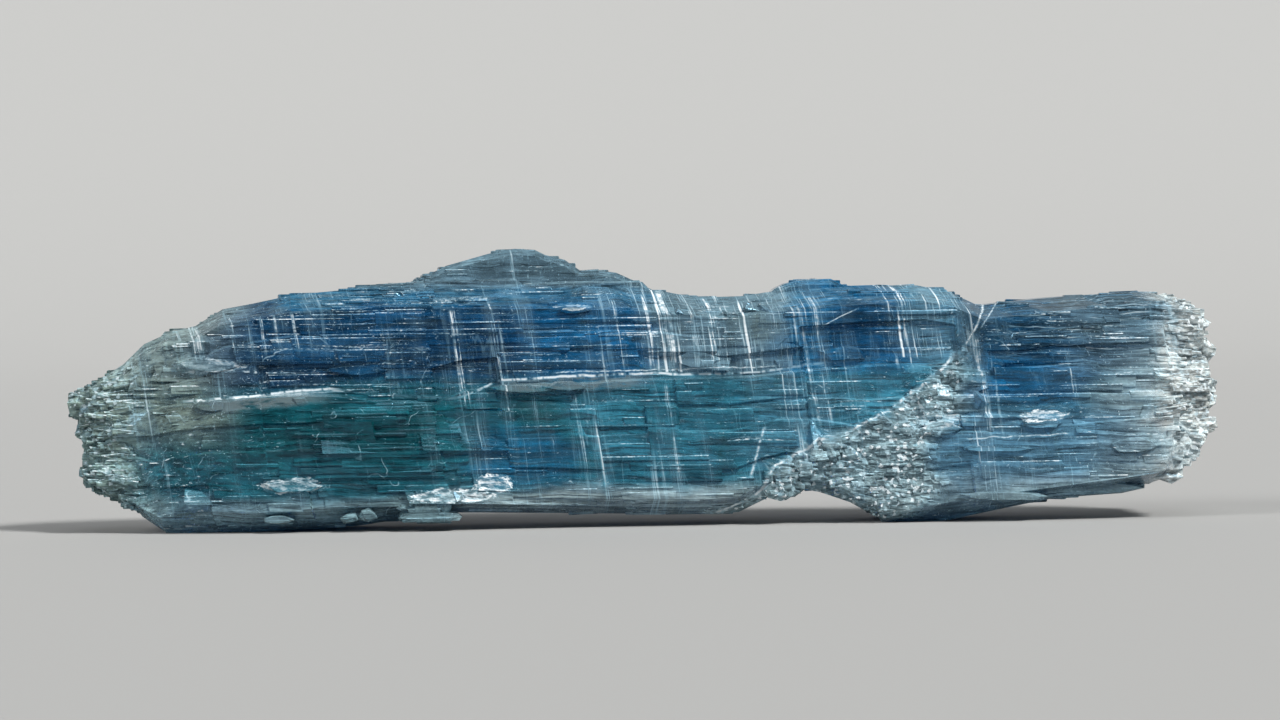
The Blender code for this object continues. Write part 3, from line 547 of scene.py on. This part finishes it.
def in_short_edges(points, triangles, values):
    """Splits the edges that are too long in half, round by round. A triangle's values go to its parts."""
    for _ in range(SPLIT_ROUNDS):
        ends = np.stack([triangles, np.roll(triangles, -1, axis=1)], axis=2)
        lengths = np.linalg.norm(points[ends[..., 0]] - points[ends[..., 1]], axis=2)
        split = lengths > LONGEST_EDGE
        if not split.any():
            break
        edges, which = np.unique(np.sort(ends[split], axis=1), axis=0, return_inverse=True)
        middles = np.full(triangles.shape, -1)
        middles[split] = len(points) + which.ravel()
        points = np.concatenate([points, points[edges].mean(axis=1)])

        # Each triangle is turned until its split edges come first.
        count = split.sum(axis=1)
        turn = np.where(count == 1, split.argmax(axis=1), 0)
        turn = np.where(count == 2, (split.argmin(axis=1) + 1) % 3, turn)
        order = (np.arange(3) + turn[:, None]) % 3
        # Its corners are 0, 1 and 2, and the middles of its edges 3, 4 and 5.
        corners = np.take_along_axis(triangles, order, axis=1)
        corners = np.concatenate([corners, np.take_along_axis(middles, order, axis=1)], axis=1)
        parts_of = {
            0: [(0, 1, 2)],
            1: [(0, 3, 2), (3, 1, 2)],
            2: [(3, 1, 4), (0, 3, 4), (0, 4, 2)],
            3: [(0, 3, 5), (3, 1, 4), (5, 4, 2), (3, 4, 5)],
        }
        chosen = [(count == splits, part) for splits, parts in parts_of.items() for part in parts]
        triangles = np.concatenate([corners[rows][:, part] for rows, part in chosen])
        values = np.concatenate([values[rows] for rows, _ in chosen])
    return points, triangles, values


def read(collection, name, columns):
    """One property of every item, which has this many numbers for each."""
    values = np.zeros(len(collection) * columns, np.int32 if name in WHOLE_NUMBERS else np.float32)
    collection.foreach_get(name, values)
    return values.reshape(-1, columns) if columns > 1 else values


def face_values(mesh):
    """The tone and the rim highlight of the solid's own triangles: a highlight is painted where its own
    steps are narrow.
    """
    corners = read(mesh.vertices, "co", 3)[read(mesh.loops, "vertex_index", 1).reshape(-1, 3)]
    normals = read(mesh.polygons, "normal", 3)
    rim = (np.abs(normals[:, 1]) < 0.8) & (np.ptp(corners[..., 1], axis=1) < RIM_DEPTH)
    face_attribute(mesh, "tone", np.zeros(len(mesh.polygons)))
    face_attribute(mesh, "rim", rim * SOLID_RIM_HIGHLIGHT)


def detailed_mesh(source):
    """The solid's own mesh with its laths and splinters joined on, in millimetres and in short edges."""
    mesh = bmesh.new()
    mesh.from_mesh(source)
    bmesh.ops.remove_doubles(mesh, verts=mesh.verts, dist=1e-7)
    bmesh.ops.scale(mesh, vec=Vector((1, 1, 1)) / MM, verts=mesh.verts)
    bmesh.ops.triangulate(mesh, faces=mesh.faces)
    surface = BVHTree.FromBMesh(mesh)
    data = bpy.data.meshes.new("solid")
    mesh.to_mesh(data)
    mesh.free()
    face_values(data)
    solid = bpy.data.objects.new("solid", data)
    bpy.context.scene.collection.objects.link(solid)
    growths = bpy.data.collections.new("growths")
    bpy.context.scene.collection.children.link(growths)
    grow_laths(surface, growths)
    grow_splinters(surface, growths)
    union = solid.modifiers.new("grown_together", "BOOLEAN")
    union.operation = "UNION"
    union.solver = "MANIFOLD"
    union.operand_type = "COLLECTION"
    union.collection = growths
    bpy.context.view_layer.update()
    joined = bpy.data.meshes.new_from_object(solid.evaluated_get(bpy.context.evaluated_depsgraph_get()))
    for growth in [*growths.objects, solid]:
        bpy.data.objects.remove(growth)
    bpy.data.collections.remove(growths)
    joined.calc_loop_triangles()
    points = read(joined.vertices, "co", 3).astype(float)
    triangles = read(joined.loop_triangles, "vertices", 3)
    face_of = read(joined.loop_triangles, "polygon_index", 1)
    points, triangles, face_of = with_own_diagonals(points, triangles, face_of)
    columns = [read(joined.attributes[name].data, "value", 1)[face_of] for name in FACE_VALUES]
    return in_short_edges(points, triangles, np.stack(columns, axis=1))


def paint(mesh, name, values):
    """Stores one value for each point of the mesh, for its material."""
    kind = "FLOAT" if values.ndim == 1 else "FLOAT_VECTOR"
    attribute = mesh.attributes.new(name, kind, "POINT")
    attribute.data.foreach_set("value" if values.ndim == 1 else "vector", values.astype(np.float32).ravel())


def zone_colours(places):
    """The broad colour at each place."""
    warp = np.stack([fractal(places * (0.3, 0.3, 0.8), 50 + i) for i in range(2)], axis=1)
    x = places[:, 0] + TURN * (places[:, 1] - FRONT_FACE) + warp[:, 0]
    z = places[:, 2] + 0.3 * warp[:, 1]
    colours = np.zeros((len(places), 3))
    for zone in ZONES:
        soft = zone.soft
        share = zone.share * step(-soft, soft, x - zone.left) * step(-soft, soft, zone.right - x)
        share *= step(-soft, soft, z - zone.low) * step(-soft, soft, zone.high - z)
        colours += share[:, None] * (np.array(zone.colour) - colours)
    broken = past_break(places)[:, None] * 0.85
    return (colours + broken * (np.array(PALE) * 0.8 - colours)) * GAIN


def crystal(node):
    """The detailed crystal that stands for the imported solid."""
    low, high = (np.array(corner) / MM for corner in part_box(NODE))
    points, triangles, values = detailed_mesh(node.data)
    places = np.clip(points, low, high)
    mesh = bpy.data.meshes.new("kyanite_cluster")
    mesh.from_pydata(places * MM, [], triangles)
    above = places[:, 2] > along(LEDGE_LINE, places[:, 0])
    across = places[:, 0] + LEAN * (places[:, 2] - CRACK_LEVEL)
    x, _, z = places[triangles].mean(axis=1).T
    calm = step(*LENS_LEFT, x) * (1 - step(*LENS_RIGHT, x)) * step(*LENS_LOW, z) * (1 - step(*LENS_HIGH, z))
    # In the teal lens the painted rim highlights are made fainter.
    for name, column in zip(FACE_VALUES, values.T):
        face_attribute(mesh, name, column * (1 - LENS_CALM * calm) if name == "rim" else column)
    paint(mesh, "banded", along(BANDED, places[:, 0]))
    paint(mesh, "tint", zone_colours(places))
    paint(mesh, "granular", granular(places))
    paint(mesh, "streaked", np.where(above, along(STREAKS_ABOVE, across), along(STREAKS_BELOW, across)))
    paint(mesh, "flecked", np.where(above, along(FLECKS_ABOVE, across), along(FLECKS_BELOW, across)))
    paint(mesh, "from_ledge", places[:, 2] - along(LEDGE_LINE, places[:, 0]))
    # How bright the glint painted along the ledge is.
    paint(mesh, "ledge_glint", along(LEDGE_GLINT, places[:, 0]))
    paint(mesh, "fractured", along(FRACTURED, places[:, 0]))
    paint(mesh, "from_break", beyond_break(places))
    paint(mesh, "break_share", 1.0 - step(*BREAK_FADES, places[:, 2]))
    paint(mesh, "striated", along(STRIATED, places[:, 0]) * step(*STRIATED_FROM, places[:, 2]))
    corners = places[triangles]
    normals = np.cross(corners[:, 1] - corners[:, 0], corners[:, 2] - corners[:, 0])
    normals /= np.maximum(np.linalg.norm(normals, axis=1, keepdims=True), 1e-12)
    # Faces that face up get a pale sheen painted on them, as if lit from above.
    face_attribute(mesh, "upward", step(*FACES_UP, normals[:, 2]))
    piece = bpy.data.objects.new("kyanite_cluster", mesh)
    bpy.context.scene.collection.objects.link(piece)
    return piece


class Value:
    """A number or a vector in a material, so that sums can be written as sums."""

    def __init__(self, tree, socket):
        self.tree = tree
        self.socket = socket

    def math(self, operation, *others, clamp=False):
        node = self.tree.nodes.new("ShaderNodeMath")
        node.operation = operation
        node.use_clamp = clamp
        for socket, value in zip(node.inputs, (self, *others)):
            connect(self.tree, value, socket)
        return Value(self.tree, node.outputs[0])

    def __add__(self, other):
        return self.math("ADD", other)

    def __sub__(self, other):
        return self.math("SUBTRACT", other)

    def __mul__(self, other):
        return self.math("MULTIPLY", other)

    def __rsub__(self, other):
        return Value(self.tree, self.math("MULTIPLY", -1.0).math("ADD", other).socket)

    def max(self, other):
        return self.math("MAXIMUM", other)

    def abs(self):
        return self.math("ABSOLUTE")

    def step(self, low, high):
        """From 0 at low to 1 at high, smoothly."""
        node = self.tree.nodes.new("ShaderNodeMapRange")
        node.interpolation_type = "SMOOTHSTEP"
        connect(self.tree, self, node.inputs["Value"])
        connect(self.tree, low, node.inputs["From Min"])
        connect(self.tree, high, node.inputs["From Max"])
        return Value(self.tree, node.outputs["Result"])


def connect(tree, value, socket):
    if isinstance(value, Value):
        tree.links.new(value.socket, socket)
    else:
        socket.default_value = value


class Paint:
    """The places and patterns that the crystal's material is made from."""

    def __init__(self, tree):
        self.tree = tree
        coordinates = tree.nodes.new("ShaderNodeTexCoord")
        scale = tree.nodes.new("ShaderNodeVectorMath")
        scale.operation = "SCALE"
        scale.inputs["Scale"].default_value = 1 / MM
        tree.links.new(coordinates.outputs["Object"], scale.inputs[0])
        self.place = Value(tree, scale.outputs[0])
        separate = tree.nodes.new("ShaderNodeSeparateXYZ")
        connect(tree, self.place, separate.inputs[0])
        self.x, self.y, self.z = (Value(tree, socket) for socket in separate.outputs)
        self.front = 1.0 - self.y.step(-0.5, 0.5)
        self.rough = self.attribute("granular")

        # Coordinates across the cracks and across the striations, both a little crooked.
        sway = self.noise(self.stretched(self.place, 0.35, 0.35, 0.1), 1.0) - 0.5
        self.wobble = self.noise(self.stretched(self.place, 1.1, 1.1, 1.1), 3.0, 0.6) - 0.5
        self.across = self.x + (self.z - CRACK_LEVEL) * LEAN + (self.y - FRONT_FACE) * TURN
        self.across = self.across + sway * 0.4 + self.wobble * 0.05
        level = self.z + self.y * 0.35 + self.x * 0.012 + sway * 0.5 + self.wobble * 0.12
        self.grain = self.vector(self.across, self.y, level)

        # Patterns that several things share.
        self.veils = self.pattern(1.1, 0.12, 2.0, 0.6)
        self.speckle = self.noise(self.stretched(self.grain, 4.0, 4.0, 7.0), 3.0, 0.7)
        _, self.grain_chance = self.cells(self.stretched(self.place, 6.0, 6.0, 6.0))

    def pattern(self, x_scale, z_scale, detail=2.0, roughness=0.5):
        """Noise drawn out along the blades or across them. The scales are features per millimetre."""
        return self.noise(self.stretched(self.grain, x_scale, z_scale, z_scale), detail, roughness)

    def attribute(self, name, output="Fac"):
        node = self.tree.nodes.new("ShaderNodeAttribute")
        node.attribute_name = name
        return Value(self.tree, node.outputs[output])

    def vector(self, x, y, z):
        node = self.tree.nodes.new("ShaderNodeCombineXYZ")
        for value, socket in zip((x, y, z), node.inputs):
            connect(self.tree, value, socket)
        return Value(self.tree, node.outputs[0])

    def stretched(self, place, x, y, z):
        node = self.tree.nodes.new("ShaderNodeVectorMath")
        node.operation = "MULTIPLY"
        connect(self.tree, place, node.inputs[0])
        node.inputs[1].default_value = (x, y, z)
        return Value(self.tree, node.outputs[0])

    def noise(self, place, detail=2.0, roughness=0.5):
        """Noise from 0 to 1 around 0.5, with features about as large as 1."""
        node = self.tree.nodes.new("ShaderNodeTexNoise")
        connect(self.tree, place, node.inputs["Vector"])
        node.inputs["Scale"].default_value = 1.0
        node.inputs["Detail"].default_value = detail
        node.inputs["Roughness"].default_value = roughness
        return Value(self.tree, node.outputs["Fac"])

    def cells(self, place):
        """Cells about as large as 1: the distance to each one's middle, and a random number for each."""
        node = self.tree.nodes.new("ShaderNodeTexVoronoi")
        connect(self.tree, place, node.inputs["Vector"])
        node.inputs["Scale"].default_value = 1.0
        distance = Value(self.tree, node.outputs["Distance"])
        chance = self.tree.nodes.new("ShaderNodeSeparateColor")
        self.tree.links.new(node.outputs["Color"], chance.inputs[0])
        return distance, Value(self.tree, chance.outputs[0])

    def crack(self, crack, breaks):
        """A bundle of fine strands on a crack plane, from one level to another."""
        distance = (self.across - crack.x).abs()
        line = 1.0 - distance.step(crack.width, crack.width * 2.6)
        span = self.z.step(crack.low - 0.4, crack.low + 0.4)
        span = span * (1.0 - self.z.step(crack.high - 0.3, crack.high))
        return line * span * breaks * crack.strength

    def vein(self, vein):
        """A line between two places, as if drawn on the front."""
        (x0, z0), (x1, z1) = vein.start, vein.end
        x = self.x + self.wobble * 0.4
        z = self.z + self.wobble * 0.3
        length = float(np.hypot(x1 - x0, z1 - z0))
        ux, uz = (x1 - x0) / length, (z1 - z0) / length
        lengthwise = (x - x0) * ux + (z - z0) * uz
        beside = ((x - x0) * uz - (z - z0) * ux).abs()
        span = lengthwise.step(-0.1, 0.2) * (1.0 - lengthwise.step(length - 0.4, length))
        strands = self.speckle.step(0.3, 0.6) * 0.7 + 0.3
        return (1.0 - beside.step(0.0, vein.width * 1.4)) * span * strands * vein.strength

    def flake(self, flake):
        """A ragged pale patch, paler towards its rim."""
        x = (self.x - flake.x + self.wobble * 0.9) * (1.0 / flake.half_length)
        z = (self.z - flake.z + self.wobble * 0.4) * (1.0 / flake.half_height)
        out = x * x + z * z + (self.speckle - 0.5) * 1.8
        return (1.0 - out.step(0.6, 1.0)) * (out.step(0.1, 0.7) * 0.35 + 0.65) * flake.strength

    def mix(self, share, base, over):
        node = self.tree.nodes.new("ShaderNodeMix")
        node.data_type = "RGBA"
        connect(self.tree, share, node.inputs["Factor"])
        for value, name in ((base, "A"), (over, "B")):
            socket = next(s for s in node.inputs if s.name == name and s.type == "RGBA")
            connect(self.tree, value if isinstance(value, Value) else (*value, 1.0), socket)
        return Value(self.tree, next(s for s in node.outputs if s.type == "RGBA"))

    def shaded(self, colour, factor):
        """A colour made lighter or darker by a factor."""
        node = self.tree.nodes.new("ShaderNodeVectorMath")
        node.operation = "SCALE"
        connect(self.tree, colour, node.inputs[0])
        connect(self.tree, factor, node.inputs["Scale"])
        return Value(self.tree, node.outputs[0])


def strongest(masks):
    """The largest of several masks. They are made one at a time, because a material holds few at once."""
    total = None
    for mask in masks:
        total = mask if total is None else total.max(mask)
    return total


def pale_marks(paint):
    """Every pale mark: cracks, streaks, veins, flakes and flecks, and painted highlights on rims, steps and
    the ledge.
    """
    pattern = paint.pattern
    streaked = paint.attribute("streaked")
    # cracks and streaks, which run on the crack planes
    breaks = pattern(0.6, 1.1, 2.0, 0.7).step(0.25, 0.5)
    strands = pattern(11.0, 0.35, 3.0, 0.65).step(0.42, 0.60) * breaks
    strands = strands * (pattern(3.0, 5.0, 2.0, 0.6).step(0.3, 0.6) * 0.5 + 0.5)
    yield strongest(paint.crack(crack, strands) for crack in CRACKS) * 0.95
    long_streaks = pattern(5.0, 0.16, 2.0, 0.6).step(0.56, 0.70)
    fine_streaks = pattern(13.0, 0.45, 2.0, 0.6).step(0.56, 0.70)
    streaks = (long_streaks * 0.95).max(fine_streaks * 0.6)
    yield streaks * (paint.veils + streaked * 0.6).step(0.6, 0.95) * 0.9
    # thin wisps and curved fractures, which are the contour lines of a noise
    wisps = 1.0 - (pattern(1.3, 0.14, 2.0, 0.55) - 0.5).abs().step(0.0, 0.012)
    yield wisps * pattern(0.7, 0.5, 2.0).step(0.42, 0.6) * (streaked * 0.4 + 0.1)
    curved = 1.0 - (pattern(0.5, 0.38, 2.0, 0.4) - 0.5).abs().step(0.0, 0.008)
    patches = pattern(0.9, 1.1, 2.0, 0.7) + paint.attribute("fractured") * 0.08
    yield curved * patches.step(0.56, 0.72) * 0.55
    yield strongest(paint.vein(vein) for vein in VEINS) * paint.front * 0.9

    # flakes and crusts
    flaked = strongest(paint.flake(flake) for flake in FLAKES) * paint.front
    yield flaked * (pattern(1.5, 5.0, 3.0, 0.75).step(0.38, 0.62) * 0.8 + 0.2)

    # glints painted along the cleavage steps, as long lines and dashes, and flecks along the blades
    flecked = paint.attribute("flecked")
    crowd = pattern(0.35, 1.6, 2.0, 0.6) + flecked * 0.45
    step_glints = pattern(0.14, 7.0, 2.0, 0.6).step(0.58, 0.72)
    step_glints = step_glints * pattern(5.0, 12.0, 2.0, 0.6).step(0.35, 0.65)
    dashes = pattern(2.2, 12.0, 3.0, 0.7).step(0.60, 0.80)
    yield (step_glints * 0.8).max(dashes) * crowd.step(0.5, 0.9)
    flecks = pattern(7.0, 5.0, 3.0, 0.75).step(0.60, 0.74)
    yield flecks * (crowd + paint.rough * 0.1).step(0.45, 0.9) * 0.75
    yield pattern(3.0, 9.0, 2.0, 0.7).step(0.67, 0.79) * 0.65
    yield pattern(0.35, 9.0, 2.0, 0.75).step(0.52, 0.72) * paint.attribute("striated") * 0.6

    # a pale sheen painted on what faces up as if lit from above, a glint painted along the ledge, and the
    # line of the break
    upward_sheen = pattern(1.2, 3.0, 3.0, 0.75).step(0.35, 0.65)
    yield upward_sheen * paint.attribute("upward") * 0.18
    ledge = 1.0 - (paint.attribute("from_ledge") + paint.wobble * 0.2).abs().step(0.02, 0.11)
    ledge = ledge * paint.attribute("ledge_glint") * pattern(2.0, 0.5, 2.0, 0.7).step(0.35, 0.55)
    yield ledge * paint.front * 0.9
    edge = 1.0 - (paint.attribute("from_break") + paint.wobble * 0.5).abs().step(0.05, 0.28)
    edge = edge * paint.attribute("break_share") * pattern(1.5, 1.5, 2.0, 0.75).step(0.35, 0.6)
    yield edge * paint.front * 0.8

    # grains of the broken parts, and a highlight painted on the rims of steps, broken up by noise
    yield paint.rough * paint.grain_chance.step(0.72, 0.98) * 0.75
    broken = pattern(5.0, 4.0, 3.0, 0.8) * 0.8 + pattern(0.6, 1.5) * 0.4
    rims = paint.attribute("rim") * (broken + flecked * 0.14 - paint.rough * 0.1)
    yield rims.step(0.48, 0.95) * 0.85


def crystal_colour(paint, marks):
    """The zone's own colour, mottled and striated, then clouded, then crossed by the pale marks."""
    pattern = paint.pattern
    shade = pattern(0.45, 1.3, 3.0, 0.65).step(0.25, 0.75) * 0.9 + 0.55
    striation = pattern(0.2, 4.5, 3.0, 0.75).step(0.32, 0.68)
    shade = shade * (striation * 0.9 + 0.55)
    shade = shade * (paint.speckle.step(0.25, 0.75) * (paint.rough * 0.6 + 0.4) + 0.8 - paint.rough * 0.2)
    shade = shade * (1.0 - paint.rough * 0.45 * (1.0 - paint.grain_chance))
    shade = shade * (paint.attribute("tone") * 0.16 + 1.0)
    striated = paint.attribute("striated")
    shade = shade * (1.0 - pattern(0.3, 8.0, 2.0, 0.6).step(0.56, 0.66) * (striated * 0.1 + 0.7))
    shade = shade * (1.0 - pattern(0.22, 5.0, 2.0, 0.6).step(0.50, 0.60) * striated * 0.75)
    colour = paint.shaded(paint.attribute("tint", "Vector"), shade)
    cloud = (paint.veils + paint.attribute("streaked") * 0.35).step(0.55, 1.05) * 0.5
    cloud = cloud + pattern(0.3, 0.8, 2.0, 0.6).step(0.5, 0.75) * 0.12
    colour = paint.mix(cloud, colour, MILK)
    below = paint.attribute("from_ledge") + paint.wobble * 0.3
    band = below.step(-0.8, -0.5) * (1.0 - below.step(-0.1, 0.0)) * paint.attribute("banded") * paint.front
    colour = paint.mix(band * pattern(0.9, 3.0, 2.0, 0.7).step(0.28, 0.52), colour, PALE)
    return paint.mix(marks, colour, paint.mix(marks.step(0.2, 0.8), ICE, WHITE))


def fine_relief(paint):
    """The relief that is too fine for the mesh, from 0 to about 1.5."""
    height = paint.noise(paint.stretched(paint.place, 0.2, 7.0, 7.0), 2.0, 0.65) * (1.0 - paint.rough) * 0.5
    height = height + paint.noise(paint.stretched(paint.place, 2.5, 5.0, 6.0), 2.0, 0.65) * 0.5
    spread, _ = paint.cells(paint.stretched(paint.place, 5.0, 5.0, 5.0))
    return height + (1.0 - spread) * paint.rough * 0.9


def kyanite_material():
    material = bpy.data.materials.new("cleaved_kyanite")
    material.use_nodes = True
    tree = material.node_tree
    shader = tree.nodes["Principled BSDF"]
    paint = Paint(tree)
    marks = strongest(pale_marks(paint))
    connect(tree, crystal_colour(paint, marks), shader.inputs["Base Color"])
    bump = tree.nodes.new("ShaderNodeBump")
    bump.inputs["Strength"].default_value = 1.0
    bump.inputs["Distance"].default_value = BUMP_DEPTH * MM
    # The relief has a small graph of its own: with the large one, the material overflows and renders black.
    connect(tree, fine_relief(Paint(tree)), bump.inputs["Height"])
    tree.links.new(bump.outputs["Normal"], shader.inputs["Normal"])
    gloss = paint.speckle.step(0.3, 0.8) * 0.15 + 0.12 + paint.rough * 0.3
    connect(tree, gloss, shader.inputs["Roughness"])
    shader.inputs["Metallic"].default_value = 0.0
    shader.inputs["IOR"].default_value = IOR
    shader.inputs["Specular IOR Level"].default_value = SPECULAR_LEVEL
    shader.inputs["Specular Tint"].default_value = SPECULAR_TINT
    clear = (1.0 - marks) * (1.0 - paint.rough * 0.6) * CLEAREST
    connect(tree, clear, shader.inputs["Transmission Weight"])

    absorption = tree.nodes.new("ShaderNodeVolumeAbsorption")
    absorption.inputs["Color"].default_value = ABSORPTION_COLOUR
    absorption.inputs["Density"].default_value = ABSORPTION_DENSITY
    tree.links.new(absorption.outputs["Volume"], tree.nodes["Material Output"].inputs["Volume"])
    return material


def plain_material(name, colour, roughness):
    material = bpy.data.materials.new(name)
    material.use_nodes = True
    shader = material.node_tree.nodes["Principled BSDF"]
    shader.inputs["Base Color"].default_value = (*colour, 1.0)
    shader.inputs["Roughness"].default_value = roughness
    return material


def studio_floor():
    """A pale floor that sweeps up behind the crystal."""
    profile = [(FLOOR_FRONT, 0.0), (FLOOR_BACK, 0.0)]
    for angle in np.radians(np.linspace(0, 90, SWEEP_PARTS)[1:]):
        profile.append((FLOOR_BACK + SWEEP_RADIUS * np.sin(angle), SWEEP_RADIUS * (1 - np.cos(angle))))
    profile.append((FLOOR_BACK + SWEEP_RADIUS, WALL_TOP))
    mesh = bmesh.new()
    sides = (-FLOOR_HALF_WIDTH, FLOOR_HALF_WIDTH)
    rows = [[mesh.verts.new((side, y, z)) for y, z in profile] for side in sides]
    for i in range(len(profile) - 1):
        face = mesh.faces.new((rows[0][i], rows[1][i], rows[1][i + 1], rows[0][i + 1]))
        face.smooth = True
    data = bpy.data.meshes.new("floor")
    mesh.to_mesh(data)
    mesh.free()
    data.materials.append(plain_material("studio_paper", PAPER, PAPER_ROUGHNESS))
    floor = bpy.data.objects.new("floor", data)
    bpy.context.scene.collection.objects.link(floor)


def soft_light(sun):
    data = bpy.data.lights.new(sun.name, "SUN")
    data.energy = sun.strength
    data.color = sun.colour
    data.angle = np.radians(sun.softness)
    light = bpy.data.objects.new(sun.name, data)
    level, turn = np.radians(sun.elevation), np.radians(sun.azimuth)
    place = Vector((np.sin(turn) * np.cos(level), -np.cos(turn) * np.cos(level), np.sin(level)))
    light.location = place * LIGHT_DISTANCE
    light.rotation_euler = place.to_track_quat("Z", "Y").to_euler()
    bpy.context.scene.collection.objects.link(light)


def studio_light():
    world = bpy.data.worlds.new("studio")
    world.use_nodes = True
    sky = world.node_tree.nodes["Background"]
    sky.inputs["Color"].default_value = SKY
    sky.inputs["Strength"].default_value = SKY_STRENGTH
    bpy.context.scene.world = world
    for sun in SUNS:
        soft_light(sun)


def camera():
    """At the photograph's angle: almost level, straight at the broad face, its right end turned up."""
    lens, sensor, image_width = 100.0, 36.0, 1280
    pixels_per_mm, roll, elevation = 20.0, np.radians(0.93), np.radians(1.5)
    aim = Vector((0.0, 0.0, 8.2)) * MM
    distance = image_width / pixels_per_mm * MM * lens / sensor
    data = bpy.data.cameras.new("camera")
    data.lens = lens
    data.sensor_width = sensor
    data.clip_start = 0.01
    view = bpy.data.objects.new("camera", data)
    place = aim + distance * Vector((0.0, -np.cos(elevation), np.sin(elevation)))
    turned = Matrix.Rotation(np.pi / 2 - elevation, 4, "X") @ Matrix.Rotation(-roll, 4, "Z")
    view.matrix_world = Matrix.Translation(place) @ turned
    bpy.context.scene.collection.objects.link(view)
    bpy.context.scene.camera = view


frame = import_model()
bpy.context.scene.view_settings.view_transform = "Standard"
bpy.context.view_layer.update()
camera()
studio_floor()
studio_light()

cluster = crystal(frame["nodes"][NODE])
cluster.data.materials.append(kyanite_material())
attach(cluster, "root")
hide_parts(NODE)
